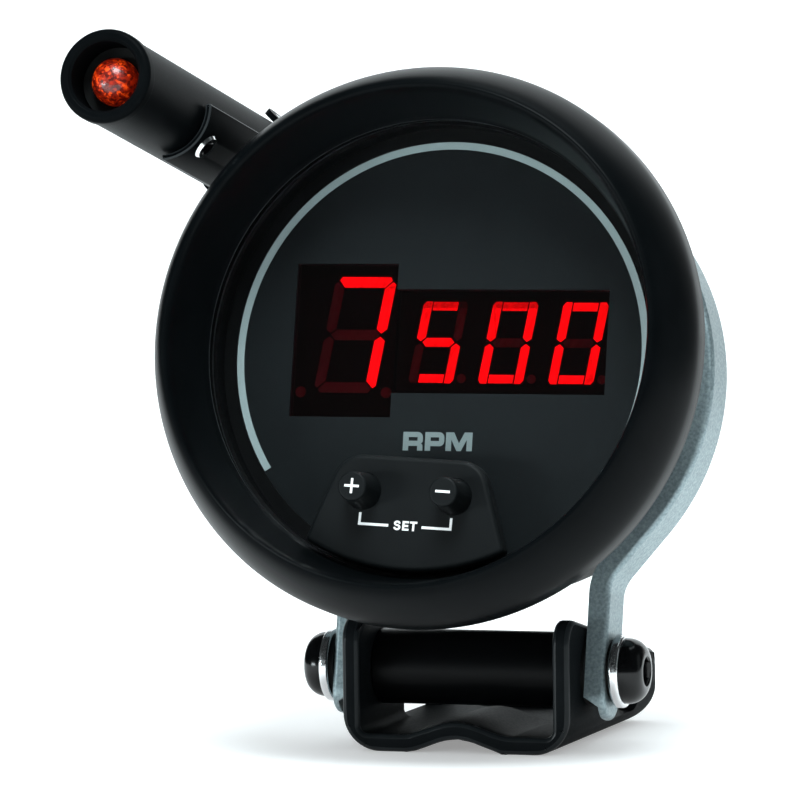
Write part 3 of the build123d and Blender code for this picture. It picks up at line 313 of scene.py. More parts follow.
# %% [markdown]
# ## Lit and dark segments
#
# A lit segment is a red light guide: even, a touch brighter in the middle of its length, with no
# shading from the room. It gets emission close to full red, scaled by a soft noise. The unlit ones
# are the same plastic with no light in it, a deep maroon that can still be made out.

# %% Red segments
def lit_finish(name, colour, low, high, patch_mm):
    """A light guide whose brightness wanders between low and high."""
    material, tree, output = new_material(name)
    surface = tree.nodes.new("ShaderNodeBsdfPrincipled")
    surface.inputs["Base Color"].default_value = (0.06, 0.0, 0.001, 1)
    surface.inputs["Roughness"].default_value = 0.4
    surface.inputs["Emission Color"].default_value = (*colour, 1)
    glow = ramp(tree, noise(tree, patch_mm, 1.0), low, high)
    tree.links.new(glow.outputs["Result"], surface.inputs["Emission Strength"])
    tree.links.new(surface.outputs["BSDF"], output.inputs["Surface"])
    return material


segment_red = lit_finish("segment_red", (1.0, 0.0004, 0.0035), 2.0, 2.7, 3.0)
segment_maroon = solid_finish("segment_maroon", (0.055, 0.0018, 0.008), (0.068, 0.0024, 0.010), 0.5,
                              grain_mm=0.4, grain_depth_mm=0.002, specular=0.2)
module_dark = solid_finish("module_dark", (0.0020, 0.0008, 0.0010), (0.0030, 0.0012, 0.0014), 0.7,
                           specular=0.05)
print("segments lit and dark:", segment_red.name, segment_maroon.name)

# %% [markdown]
# ## The amber lamp
#
# The lamp is a small dome of orange plastic with facets moulded inside, so light breaks up in it
# like crushed glass. A Voronoi pattern stands for the facets: it tilts the surface from cell to
# cell and makes some cells brighter than others, a painted sparkle. A broader noise gathers the
# bright ones in clouds. The same colours also drive a weak emission, a painted glow in the dome.

# %% Amber with moulded facets, painted sparkle and painted glow
FACET_MM, FACET_DEPTH_MM, CLOUD_MM = 0.45, 0.03, 1.6
FACET_SHARE, CLOUD_SHARE = 0.62, 0.50
AMBER_TONES = ((0.0, (0.030, 0.0010, 0.0002)), (0.40, (0.10, 0.003, 0.0003)),
               (0.75, (0.32, 0.012, 0.0006)), (1.0, (0.95, 0.075, 0.004)))


def amber_finish():
    """Deep red to orange, from one facet to the next as painted sparkle, with a painted glow, under a thin
    clear gloss.
    """
    material, tree, output = new_material("amber_facets_and_glow")
    surface = tree.nodes.new("ShaderNodeBsdfPrincipled")
    surface.inputs["Roughness"].default_value = 0.35
    surface.inputs["Coat Weight"].default_value = 0.35
    surface.inputs["Coat Roughness"].default_value = 0.02
    # A weak emission of the same tones paints a glow into the dome.
    surface.inputs["Emission Strength"].default_value = 0.32
    coords = tree.nodes.new("ShaderNodeTexCoord")
    facets = tree.nodes.new("ShaderNodeTexVoronoi")
    facets.inputs["Scale"].default_value = 1.0 / (FACET_MM * MM)
    tree.links.new(coords.outputs["Object"], facets.inputs["Vector"])
    split = tree.nodes.new("ShaderNodeSeparateColor")
    tree.links.new(facets.outputs["Color"], split.inputs["Color"])
    # Brighter cells gathered in clouds: painted sparkle.
    sparkle_clouds = ramp(tree, noise(tree, CLOUD_MM, 3.0), 0.0, CLOUD_SHARE)
    blend = tree.nodes.new("ShaderNodeMath")
    blend.operation = "MULTIPLY_ADD"
    blend.inputs[1].default_value = FACET_SHARE
    tree.links.new(split.outputs["Red"], blend.inputs[0])
    tree.links.new(sparkle_clouds.outputs["Result"], blend.inputs[2])
    tone = tree.nodes.new("ShaderNodeValToRGB")
    stops = tone.color_ramp.elements
    for place, _ in AMBER_TONES[1:-1]:
        stops.new(place)
    for stop, (_, colour) in zip(stops, AMBER_TONES):
        stop.color = (*colour, 1)
    tree.links.new(blend.outputs[0], tone.inputs["Fac"])
    tree.links.new(tone.outputs["Color"], surface.inputs["Base Color"])
    tree.links.new(tone.outputs["Color"], surface.inputs["Emission Color"])
    bump = tree.nodes.new("ShaderNodeBump")
    bump.inputs["Distance"].default_value = FACET_DEPTH_MM * MM
    tree.links.new(facets.outputs["Distance"], bump.inputs["Height"])
    tree.links.new(bump.outputs["Normal"], surface.inputs["Normal"])
    tree.links.new(surface.outputs["BSDF"], output.inputs["Surface"])
    return material


amber_facets_and_glow = amber_finish()
print("lamp finish:", amber_facets_and_glow.name)

# %% [markdown]
# ## Dress the solids
#
# Every solid takes the finish of what it is. The solids come as flat facets, so each one is shaded
# smooth, and only edges that turn by a good angle stay sharp.

# %% Give each solid its finish
SOLID_CREASE = math.radians(32)
finishes = {
    powder_black: ["base_bracket"],
    bezel_black: ["bezel"],
    case_black: ["case_cup"],
    oxide_black: ["pivot_bolt_left", "pivot_bolt_right", "light_bolt", "light_nut", "foot_screw"],
    spacer_black: ["spacer_tube"],
    nylon_black: ["nylon_washer_left", "nylon_washer_right", "inner_washer_left", "inner_washer_right"],
    rubber_black: ["strap_liner", "rear_grommet", "light_plug", "lamp_socket"],
    key_black: ["key_block", "plus_button", "minus_button"],
    dial_black: ["dial"],
    ring_black: ["spacer_ring"],
    tube_black: ["light_tube", "light_foot", "light_saddle"],
    strap_grey: ["strap"],
    bright_plate: ["plated_washer_left", "plated_washer_right", "saddle_rivet"],
    zinc_plate: [f"{kind}_screw_{i}" for kind in ("display", "main") for i in (1, 2, 3, 4)],
    can_metal: ["capacitor"],
    board_green: ["display_board", "main_board"],
    chip_black: ["controller", "board_header", "push_switch_left", "push_switch_right"],
    arc_silver: ["dial_arc"],
    lens_clear: ["lens"],
    window_smoked: ["display_filter"],
    segment_red: ["segments_lit"],
    segment_maroon: ["segments_dark"],
    module_dark: ["tall_digit_module", "three_digit_module"],
    amber_facets_and_glow: ["amber_lamp"],
}
for finish, names in finishes.items():
    for name in names:
        mesh = nodes[name].data
        mesh.materials.clear()
        mesh.materials.append(finish)
        for face in mesh.polygons:
            face.material_index = 0
        mesh.shade_smooth()
        mesh.set_sharp_from_angle(angle=SOLID_CREASE)

undressed = sorted(set(nodes) - {n for names in finishes.values() for n in names})
print("solids without a finish:", undressed)

# %% [markdown]
# ## Soft edges on the stand
#
# A folded and coated sheet has no perfectly sharp edge, and its small rounds are what catches the
# light. The Bevel modifier makes them, and the solid underneath stays as it was packed. The rounds
# take a paler finish, which paints their highlight. A packed mesh is split along its sharp edges, so
# a Weld modifier joins it first, and the edges are found by comparing the faces that meet in the same
# place. Only the front edges and the ears are rounded, because rounds at the slots and holes would
# run into each other.

# %% Round the stand's front and ears
JOIN_MM, SAME_PLACE_MM = 0.001, 0.002
FOLD_ANGLE = math.radians(40)


def round_edges(name, width_mm, may_round, highlight_finish):
    """A bevel on the folded edges whose two ends may be rounded, in a paler finish that paints a highlight.
    """
    mesh = nodes[name].data
    normals_at = {}

    def place_of(ends):
        return frozenset(tuple(round(c / (SAME_PLACE_MM * MM)) for c in mesh.vertices[i].co) for i in ends)

    for face in mesh.polygons:
        for ends in face.edge_keys:
            normals_at.setdefault(place_of(ends), []).append(face.normal.copy())
    weights = mesh.attributes.new("bevel_weight_edge", "FLOAT", "EDGE")
    rounded = 0
    for edge in mesh.edges:
        normals = normals_at.get(place_of(edge.vertices), [])
        if len(normals) != 2 or normals[0].angle(normals[1], 0.0) <= FOLD_ANGLE:
            continue
        if all(may_round(mesh.vertices[i].co) for i in edge.vertices):
            weights.data[edge.index].value = 1.0
            rounded += 1
        else:
            edge.use_edge_sharp = True
    # The rounds take this second, paler finish as a painted highlight.
    mesh.materials.append(highlight_finish)
    weld = nodes[name].modifiers.new("joined_faces", "WELD")
    weld.merge_threshold = JOIN_MM * MM
    bevel = nodes[name].modifiers.new("edge_round", "BEVEL")
    bevel.width = width_mm * MM
    bevel.use_clamp_overlap = False
    bevel.segments = 3
    bevel.limit_method = "WEIGHT"
    bevel.harden_normals = True
    bevel.material = 1
    print(name, "edges rounded:", rounded, "of", len(mesh.edges))


FRONT_FACE_MM, EAR_FOOT_MM, HOLE_REACH_MM, STAND_ROUND_MM = 0.05, 10.0, 4.0, 0.75
stand_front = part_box("base_bracket")[0].y
bolt_low, bolt_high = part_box("pivot_bolt_right")
pivot_y, pivot_z = (bolt_low.y + bolt_high.y) / 2, (bolt_low.z + bolt_high.z) / 2


def front_or_ear(point):
    """True on the stand's front edges and around its ears, but not at their pivot holes."""
    from_pivot = math.hypot(point.y - pivot_y, point.z - pivot_z)
    on_ear = point.z > EAR_FOOT_MM * MM and from_pivot > HOLE_REACH_MM * MM
    return point.y < stand_front + FRONT_FACE_MM * MM or on_ear


round_edges("base_bracket", STAND_ROUND_MM, front_or_ear, powder_painted_highlight)

# %% [markdown]
# ## A thin bright ring for the rivet
#
# The rivet is hollow. Its rim is bright and its throat lies in shadow, so the throat is painted
# black as shade and only a thin ring shines. The faces near its axis take the bolts' black finish as
# a second material. The axis points straight out of the case, at the angle round the dial where the
# warning light sits.

# %% Paint shade into the rivet's throat
LIGHT_ANGLE = math.radians(139.982)
THROAT_SHARE = 0.86
light_out = right * math.cos(LIGHT_ANGLE) + head_up * math.sin(LIGHT_ANGLE)
rivet = nodes["saddle_rivet"]
rivet_points = [rivet.matrix_world @ v.co for v in rivet.data.vertices]
rivet_middle = sum(rivet_points, Vector()) / len(rivet_points)


def from_rivet_axis(point):
    """How far a point lies from the rivet's axis."""
    arm = point - rivet_middle
    return (arm - light_out * arm.dot(light_out)).length


rivet_reach = max(from_rivet_axis(p) for p in rivet_points)
# The throat's faces take the black as painted shade.
rivet.data.materials.append(oxide_black)
shaded_throat = [face for face in rivet.data.polygons
          if from_rivet_axis(rivet.matrix_world @ face.center) < THROAT_SHARE * rivet_reach]
for face in shaded_throat:
    face.material_index = 1
print("rivet faces in the throat:", len(shaded_throat), "of", len(rivet.data.polygons))

# %% [markdown]
# ## A painted highlight on the light's saddle
#
# The saddle is a thin bent sheet, and its cut edge catches the light in a pale line along the tube.
# That line is a painted highlight: the edge gets the same kind of round and pale finish as the
# stand, only narrower, and none where the rivet goes through.

# %% Round the saddle's edges
RIVET_CLEAR_MM, SADDLE_ROUND_MM = 0.3, 0.30


def off_the_rivet(point):
    """True away from the hole that the rivet fills."""
    return from_rivet_axis(point) > rivet_reach + RIVET_CLEAR_MM * MM


# The narrow rounds take the pale grey, a painted highlight line.
round_edges("light_saddle", SADDLE_ROUND_MM, off_the_rivet, painted_highlight_grey)

# %% [markdown]
# ## The bezel on a lathe
#
# The bezel is the first thing the eye follows, and its crest is a curve that mirrors the lamps, so
# any facet shows. Its section is drawn again here, with many points on the curves, and turned in
# 240 steps. The tool for that is a small lathe. It takes a closed section and can give chosen
# stretches of it a pale finish that paints a thin highlight line.

# %% A lathe for round pieces
def curve_through(start, start_pull, end_pull, end, steps):
    """Points of a cubic curve between start and end, without the start itself."""
    points = []
    for i in range(1, steps + 1):
        t = i / steps
        weights = ((1 - t) ** 3, 3 * (1 - t) ** 2 * t, 3 * (1 - t) * t * t, t ** 3)
        points.append(tuple(sum(w * q[k] for w, q in zip(weights, (start, start_pull, end_pull, end)))
                            for k in (0, 1)))
    return points


LATHE_STEPS = 240
TURNED_CREASE = math.radians(30)


def lathe(name, place, section, finish, highlight_stretches=(), steps=LATHE_STEPS):
    """A closed section of (radius, height) in millimetres, turned about the place's z axis."""
    points, faces = [], []
    for i in range(steps):
        a = 2 * math.pi * i / steps
        points += [place @ Vector((r * math.cos(a), r * math.sin(a), z)) for r, z in section]
    count = len(section)
    for i in range(steps):
        here, there = i * count, (i + 1) % steps * count
        faces += [(here + k, there + k, there + (k + 1) % count, here + (k + 1) % count)
                  for k in range(count)]
    mesh = bpy.data.meshes.new(name)
    mesh.from_pydata(points, [], faces)
    work = bmesh.new()
    work.from_mesh(mesh)
    bmesh.ops.recalc_face_normals(work, faces=work.faces)
    work.to_mesh(mesh)
    work.free()
    mesh.materials.append(finish)
    # The chosen stretches take the pale grey, a painted highlight line.
    mesh.materials.append(painted_highlight_grey)
    for stretch in highlight_stretches:
        for i in range(steps):
            mesh.polygons[i * count + stretch].material_index = 1
    mesh.shade_smooth()
    mesh.set_sharp_from_angle(angle=TURNED_CREASE)
    piece = bpy.data.objects.new(name, mesh)
    bpy.context.scene.collection.objects.link(piece)
    return piece


ROUND_PULL = 0.552
quarter_round = curve_through((1.0, 0.0), (1.0, ROUND_PULL), (ROUND_PULL, 1.0), (0.0, 1.0), 8)
print("a quarter round in 8 steps stays at radius 1:", [round(math.hypot(*p), 3) for p in quarter_round])

# %% [markdown]
# ## The bezel's section
#
# From the lens outwards the section climbs a straight funnel, rounds over the crest and falls in one
# long curve to the straight band at the back. Its sizes are the solid's. The round inside the crest
# is drawn a little broader, because that is where the highlight turns. The hollow between the two
# walls is seen only from behind, so a few points are enough for it.

# %% Turn the bezel
BEZEL_R, CREST_R, FUNNEL_R = 47.625, 42.59, 39.1
BAND_TOP, CREST_Z, LENS_TOP, BEZEL_REAR = 8.83, 20.77, 6.9, 4.62
FOOT_STEPS = ((0.15, 0.0), (0.0, 0.12), (0.0, 0.5), (0.10, 0.72), (0.25, 1.0))
FUNNEL_OUT, FUNNEL_RISE, FUNNEL_STEPS = 1.92, 10.10, 8
LIP_OUT, LIP_RISE, CREST_IN = 0.29, 1.5, 0.72
OUTER_PULL, BAND_ROUND, BAND_CUT = 0.304, 0.6, 0.18
HOLLOW = ((44.5, BEZEL_REAR), (44.5, 9.0), (44.3, 13.0), (43.3, 16.6), (42.8, 16.6), (41.25, 9.0),
          (41.0, LENS_TOP))
# The stretch at the funnel's foot takes the pale grey as a painted highlight line.
FOOT_HIGHLIGHT = 1

crest, shoulder = (CREST_R, CREST_Z), (BEZEL_R, BAND_TOP)
bezel_section = [(FUNNEL_R + out, LENS_TOP + up) for out, up in FOOT_STEPS]
foot_r, foot_z = bezel_section[-1]
bezel_section += [(foot_r + FUNNEL_OUT * i / FUNNEL_STEPS, foot_z + FUNNEL_RISE * i / FUNNEL_STEPS)
                  for i in range(1, FUNNEL_STEPS + 1)]
top_r, top_z = bezel_section[-1]
bezel_section += curve_through((top_r, top_z), (top_r + LIP_OUT, top_z + LIP_RISE),
                               (CREST_R - CREST_IN, CREST_Z), crest, 18)
bezel_section += curve_through(crest, (CREST_R + OUTER_PULL * (BEZEL_R - CREST_R), CREST_Z),
                               (BEZEL_R, BAND_TOP + OUTER_PULL * (CREST_Z - BAND_TOP)), shoulder, 30)
bezel_section += [(BEZEL_R, BEZEL_REAR + BAND_ROUND), (BEZEL_R - BAND_CUT, BEZEL_REAR + BAND_CUT),
                  (BEZEL_R - BAND_ROUND, BEZEL_REAR), *HOLLOW]
bezel_turned = lathe("bezel_turned", HEAD, bezel_section, bezel_black, highlight_stretches=(FOOT_HIGHLIGHT,))
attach(bezel_turned, "head")
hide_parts("bezel")
print("bezel section points:", len(bezel_section), "faces:", len(bezel_turned.data.polygons))

# %% [markdown]
# ## The ring between lens and dial
#
# A black ring holds the lens off the dial. Where it meets the dial it leaves a flat black margin
# round the printed face, one step lower than its wall. Two narrow stretches of the section, the
# lip's wall and the margin's inner edge, take the pale finish and show as fine painted highlight lines.

# %% Turn the ring under the lens
RING_OUT, RING_LIP, RING_IN, RING_TOP = 41.3, 39.4, 38.9, 4.9
LIP_FOOT, WALL_TOP, RING_FOOT = 4.06, 3.84, 0.02
MARGIN_IN, MARGIN_T = 36.60, 0.22
EDGE_CUT, LIP_CUT, STEP_CUT = 0.06, 0.08, 0.10
# These two stretches take the pale grey as painted highlight lines.
MARGIN_EDGE_HIGHLIGHT, LIP_WALL_HIGHLIGHT = 2, 7
ring_section = [(RING_IN, MARGIN_T), (MARGIN_IN + EDGE_CUT, MARGIN_T), (MARGIN_IN, MARGIN_T - EDGE_CUT),
                (MARGIN_IN, RING_FOOT), (RING_OUT, RING_FOOT), (RING_OUT, RING_TOP),
                (RING_LIP + LIP_CUT, RING_TOP), (RING_LIP, RING_TOP - LIP_CUT),
                (RING_LIP, LIP_FOOT + STEP_CUT), (RING_LIP - EDGE_CUT, LIP_FOOT),
                (RING_IN + EDGE_CUT, WALL_TOP), (RING_IN, WALL_TOP - STEP_CUT)]
ring_turned = lathe("ring_turned", HEAD, ring_section, ring_black, highlight_stretches=(LIP_WALL_HIGHLIGHT, MARGIN_EDGE_HIGHLIGHT))
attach(ring_turned, "head")
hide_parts("spacer_ring")
print("ring faces:", len(ring_turned.data.polygons))

# %% [markdown]
# ## Button-head bolts
#
# A button head is a low dome with a hexagon socket. Every round of its section is turned as on the
# lathe, but the rounds inside the socket follow a hexagon, so dome and socket are one mesh with no
# cutting. The dome is drawn rounder than the solid's, since its highlight shows the least flat.

# %% Two bolts
SHANK_R, SHANK_LONG = 3.1, 18.0
DOME_R, DOME_HIGH, DOME_SIDE, DOME_FLAT, DOME_STEPS = 5.65, 3.6, 0.35, 2.75, 14
SOCKET_FLAT, SOCKET_DEEP, SOCKET_EDGE = 2.25, 2.2, 1.03
RIM_FLAT, RIM_DROP, EDGE_DROP = 0.15, 0.18, 0.30
POINT_R, JOIN_POINTS_MM = 0.001, 0.004


def hexagon_reach(angle, flat):
    """How far a hexagon's side lies from its middle at an angle, for a middle-to-flat distance."""
    return flat / math.cos((angle + math.pi / 6) % (math.pi / 3) - math.pi / 6)


def button_bolt(name, side, steps=96):
    """A bolt along X. The side is 1 for the right and -1 for the left."""
    seat, axis_y, axis_z = bolt_high.x / MM - DOME_HIGH, pivot_y / MM, pivot_z / MM
    # Each round has a radius, a height over the seat, and a hexagon's share that is 0 on a circle.
    rounds = [(0.0, -SHANK_LONG, 0.0), (SHANK_R, -SHANK_LONG, 0.0), (SHANK_R, 0.0, 0.0), (DOME_R, 0.0, 0.0)]
    for i in range(DOME_STEPS + 1):
        rise = math.pi / 2 * i / DOME_STEPS
        rounds.append((DOME_FLAT + (DOME_R - DOME_FLAT) * math.cos(rise),
                       DOME_SIDE + (DOME_HIGH - DOME_SIDE) * math.sin(rise), 0.0))
    rounds += [(DOME_FLAT - RIM_FLAT, DOME_HIGH, 0.0), (0.0, DOME_HIGH - RIM_DROP, SOCKET_EDGE),
               (0.0, DOME_HIGH - EDGE_DROP, 1.0), (0.0, DOME_HIGH - SOCKET_DEEP, 1.0),
               (0.0, DOME_HIGH - SOCKET_DEEP, 0.0)]
    points = []
    for radius, height, hexagon_share in rounds:
        for i in range(steps):
            a = 2 * math.pi * i / steps
            reach = hexagon_reach(a, SOCKET_FLAT) * hexagon_share or max(radius, POINT_R)
            points.append(Vector((side * (seat + height), axis_y + reach * math.cos(a),
                                  axis_z + reach * math.sin(a))) * MM)
    faces = []
    for k in range(len(rounds) - 1):
        here, there = k * steps, (k + 1) * steps
        faces += [(here + i, here + (i + 1) % steps, there + (i + 1) % steps, there + i)
                  for i in range(steps)]
    mesh = bpy.data.meshes.new(name)
    mesh.from_pydata(points, [], faces)
    work = bmesh.new()
    work.from_mesh(mesh)
    bmesh.ops.remove_doubles(work, verts=work.verts, dist=JOIN_POINTS_MM * MM)
    bmesh.ops.recalc_face_normals(work, faces=work.faces)
    work.to_mesh(mesh)
    work.free()
    mesh.materials.append(oxide_black)
    mesh.shade_smooth()
    mesh.set_sharp_from_angle(angle=TURNED_CREASE)
    bolt = bpy.data.objects.new(name, mesh)
    bpy.context.scene.collection.objects.link(bolt)
    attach(bolt, "stand")
    return bolt


for side_name, side in (("left", -1), ("right", 1)):
    bolt = button_bolt(f"button_bolt_{side_name}", side)
    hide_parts(f"pivot_bolt_{side_name}")
    print(bolt.name, "faces:", len(bolt.data.polygons))

# %% [markdown]
# ## Lettering
#
# The dial says RPM in a wide, heavy face with square bowls, and the key block says SET between two
# brackets. The letters are short outlines in the head's frame, filled and given a film's thickness,
# so they sit on the surface like printed ink. A letter with a hole in it is drawn as a few strips
# that leave the hole open and don't overlap.

# %% Ink from outlines
INK_MM = 0.03


def ink(name, place, height_mm, outlines, finish, body):
    """Flat outlines in a piece's frame, raised by a film of ink."""
    mesh = bpy.data.meshes.new(name)
    work = bmesh.new()
    for outline in outlines:
        low = [work.verts.new(place @ Vector((x, y, height_mm))) for x, y in outline]
        top = [work.verts.new(place @ Vector((x, y, height_mm + INK_MM))) for x, y in outline]
        count = len(outline)
        work.faces.new(top)
        work.faces.new(low[::-1])
        for i in range(count):
            work.faces.new((low[i], low[(i + 1) % count], top[(i + 1) % count], top[i]))
    bmesh.ops.recalc_face_normals(work, faces=work.faces)
    work.to_mesh(mesh)
    work.free()
    piece = bpy.data.objects.new(name, mesh)
    bpy.context.scene.collection.objects.link(piece)
    mesh.materials.append(finish)
    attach(piece, body)
    return piece


def arc(cx, cy, reach_x, reach_y, start, end, steps=6):
    """Points of an arc, in degrees. Its two reaches are the same on a round one."""
    angles = [math.radians(start + (end - start) * i / steps) for i in range(steps + 1)]
    return [(cx + reach_x * math.cos(a), cy + reach_y * math.sin(a)) for a in angles]


def corner(cx, cy, radius, start, end):
    """Points of a round corner."""
    return arc(cx, cy, radius, radius, start, end)


print("ink film in mm:", INK_MM)

# %% [markdown]
# ## RPM on the dial
#
# The three letters share one height and one stem. R and P also share their bowl, so it is drawn by a
# function. The M is two stems and two slanted strokes that meet on its middle line.

# %% RPM on the dial
CAP_TOP, CAP_FOOT = -13.33, -16.51
STEM, BAR, BOWL_GAP, BOWL_SIDE = 0.98, 0.88, 0.63, 0.94
UPPER_ROUND, LOWER_ROUND = 0.95, 0.85


def strip(x0, y0, x1, y1):
    """An upright rectangle between two corners."""
    return [(x0, y0), (x1, y0), (x1, y1), (x0, y1)]


def bowl(left, end):
    """The bowl shared by R and P, as an upper bar, a right side and a lower bar."""
    bar_low = CAP_TOP - 2 * BAR - BOWL_GAP
    inner_x = end - BOWL_SIDE
    side = (corner(end - UPPER_ROUND, CAP_TOP - UPPER_ROUND, UPPER_ROUND, 90, 0)
            + corner(end - LOWER_ROUND, bar_low + LOWER_ROUND, LOWER_ROUND, 0, -90))
    return [strip(left + STEM, CAP_TOP - BAR, inner_x, CAP_TOP),
            [(inner_x, CAP_TOP)] + side + [(inner_x, bar_low)],
            strip(left + STEM, bar_low, inner_x, bar_low + BAR)]


def upright(x):
    """A letter's stem."""
    return strip(x, CAP_FOOT, x + STEM, CAP_TOP)


R_LEFT, R_RIGHT, P_LEFT, P_RIGHT, M_LEFT, M_RIGHT = -5.90, -2.40, -2.00, 1.42, 1.69, 5.39
M_MIDDLE, M_VALLEY, M_SHOULDER = 4.03, -15.20, -14.60
r_bowl = bowl(R_LEFT, R_RIGHT)
r_inner = R_RIGHT - BOWL_SIDE
r_waist = [(R_RIGHT, -14.92), (-2.52, -15.16), (-2.74, -15.30), (-2.48, -15.46), (R_RIGHT, -15.72)]
r_side = ([(r_inner, CAP_TOP)]
          + corner(R_RIGHT - UPPER_ROUND, CAP_TOP - UPPER_ROUND, UPPER_ROUND, 90, 0)
          + r_waist + [(-2.38, CAP_FOOT), (r_inner, CAP_FOOT)])
letter_r = [upright(R_LEFT), r_bowl[0], r_side, r_bowl[2]]
letter_p = [upright(P_LEFT)] + bowl(P_LEFT, P_RIGHT)
letter_m = [upright(M_LEFT), upright(M_RIGHT),
            [(M_LEFT + STEM, CAP_TOP), (3.10, CAP_TOP), (M_MIDDLE, M_VALLEY), (M_MIDDLE, CAP_FOOT),
             (3.66, CAP_FOOT), (M_LEFT + STEM, M_SHOULDER)],
            [(M_RIGHT, CAP_TOP), (M_RIGHT, M_SHOULDER), (4.42, CAP_FOOT), (M_MIDDLE, CAP_FOOT),
             (M_MIDDLE, M_VALLEY), (4.98, CAP_TOP)]]
dial_word = ink("dial_word", HEAD, 0.0, letter_r + letter_p + letter_m, ink_grey, "head")
print(dial_word.name, "strips:", len(letter_r + letter_p + letter_m))

# %% [markdown]
# ## SET on the key block
#
# SET is white and narrower than the dial's word. Its S is one pen stroke along two arcs that turn
# opposite ways, each given by its middle and its two reaches. The other letters and the brackets
# are straight strips.

# %% SET and its brackets
KEY_FACE = 9.8


def stroke(line, width):
    """The outline of a pen stroke of even width along a line."""
    left_side, right_side = [], []
    for i, (x, y) in enumerate(line):
        ahead, behind_it = line[min(i + 1, len(line) - 1)], line[max(i - 1, 0)]
        dx, dy = ahead[0] - behind_it[0], ahead[1] - behind_it[1]
        reach = width / 2 / math.hypot(dx, dy)
        left_side.append((x - dy * reach, y + dx * reach))
        right_side.append((x + dy * reach, y - dx * reach))
    return left_side + right_side[::-1]


SET_TOP, SET_FOOT, SET_PEN, SET_STEM, S_PEN = -29.92, -31.52, 0.34, 0.36, 0.33
S_UPPER, S_LOWER = (-1.405, -30.37, 0.415, 0.29), (-1.41, -31.02, 0.46, 0.345)
E_LEFT, E_ARM, E_WAIST = -0.48, (0.64, 0.56, 0.67), -30.89
T_LEFT, T_RIGHT, T_STEM = 0.84, 2.10, 1.29
letter_s = [stroke(arc(*S_UPPER, -8, 262, 12) + arc(*S_LOWER, 82, -180, 12), S_PEN)]
e_arms = zip((SET_TOP - SET_PEN, E_WAIST, SET_FOOT), E_ARM)
letter_e = [strip(E_LEFT, SET_FOOT, E_LEFT + SET_STEM, SET_TOP)]
letter_e += [strip(E_LEFT + SET_STEM, foot, end, foot + SET_PEN) for foot, end in e_arms]
letter_t = [strip(T_LEFT, SET_TOP - SET_PEN, T_RIGHT, SET_TOP),
            strip(T_STEM, SET_FOOT, T_STEM + SET_STEM, SET_TOP - SET_PEN)]
LINE, LINE_FOOT, LINE_TOP, LINE_LEFT, LINE_RIGHT = 0.44, -31.04, -28.92, -8.32, 8.20
WORD_LEFT, WORD_RIGHT = -2.96, 2.92
brackets = [strip(LINE_LEFT, LINE_FOOT, LINE_LEFT + LINE, LINE_TOP),
            strip(LINE_LEFT + LINE, LINE_FOOT, WORD_LEFT, LINE_FOOT + LINE),
            strip(LINE_RIGHT - LINE, LINE_FOOT, LINE_RIGHT, LINE_TOP),
            strip(WORD_RIGHT, LINE_FOOT, LINE_RIGHT - LINE, LINE_FOOT + LINE)]
key_words = ink("key_words", KEYS, KEY_FACE, letter_s + letter_e + letter_t + brackets, ink_white, "head")
print("white strips on the key block:", len(letter_s + letter_e + letter_t + brackets))

# %% [markdown]
# ## Marks on the buttons
#
# The plus and the minus ride on their buttons, so they sink with them when a button is pressed.

# %% Plus and minus
BUTTON_X, BUTTON_Y, BUTTON_FACE = 8.0, -25.3, 16.0
ARM, HALF_PEN = 1.27, 0.20
plus_shape = [strip(-BUTTON_X - ARM, BUTTON_Y - HALF_PEN, -BUTTON_X + ARM, BUTTON_Y + HALF_PEN),
              strip(-BUTTON_X - HALF_PEN, BUTTON_Y + HALF_PEN, -BUTTON_X + HALF_PEN, BUTTON_Y + ARM),
              strip(-BUTTON_X - HALF_PEN, BUTTON_Y - ARM, -BUTTON_X + HALF_PEN, BUTTON_Y - HALF_PEN)]
minus_shape = [strip(BUTTON_X - ARM, BUTTON_Y - HALF_PEN, BUTTON_X + ARM, BUTTON_Y + HALF_PEN)]
plus_mark = ink("plus_mark", KEYS, BUTTON_FACE, plus_shape, ink_white, "plus_key")
minus_mark = ink("minus_mark", KEYS, BUTTON_FACE, minus_shape, ink_white, "minus_key")
print("key marks:", key_words.name, plus_mark.name, minus_mark.name)

# %% [markdown]
# ## Floor and background
#
# The set is a pale sweep: a floor under the stand that curves up into a wall behind it. It is lit
# like any other surface, so it takes the gauge's soft shadow. For the camera, and for what metal
# and glass mirror, a little light of its own lifts it to white paper. The Light Path node tells
# those rays from the ones that light the gauge.

# %% Pale sweep
PAPER_DARK, PAPER_LIGHT, PAPER_PATCH_MM, PAPER_LIFT = 0.84, 0.86, 60.0, 0.30


def math_step(tree, operation, first, second):
    """One sum on two sockets, or on a socket and a number."""
    step = tree.nodes.new("ShaderNodeMath")
    step.operation = operation
    tree.links.new(first, step.inputs[0])
    if isinstance(second, float):
        step.inputs[1].default_value = second
    else:
        tree.links.new(second, step.inputs[1])
    return step.outputs[0]


def ray_kinds(tree):
    """Two sockets that are 1 for a ray from the camera and for one that gloss or glass sends on."""
    ray = tree.nodes.new("ShaderNodeLightPath")
    mirrored = math_step(tree, "MAXIMUM", ray.outputs["Is Glossy Ray"], ray.outputs["Is Transmission Ray"])
    return ray.outputs["Is Camera Ray"], mirrored


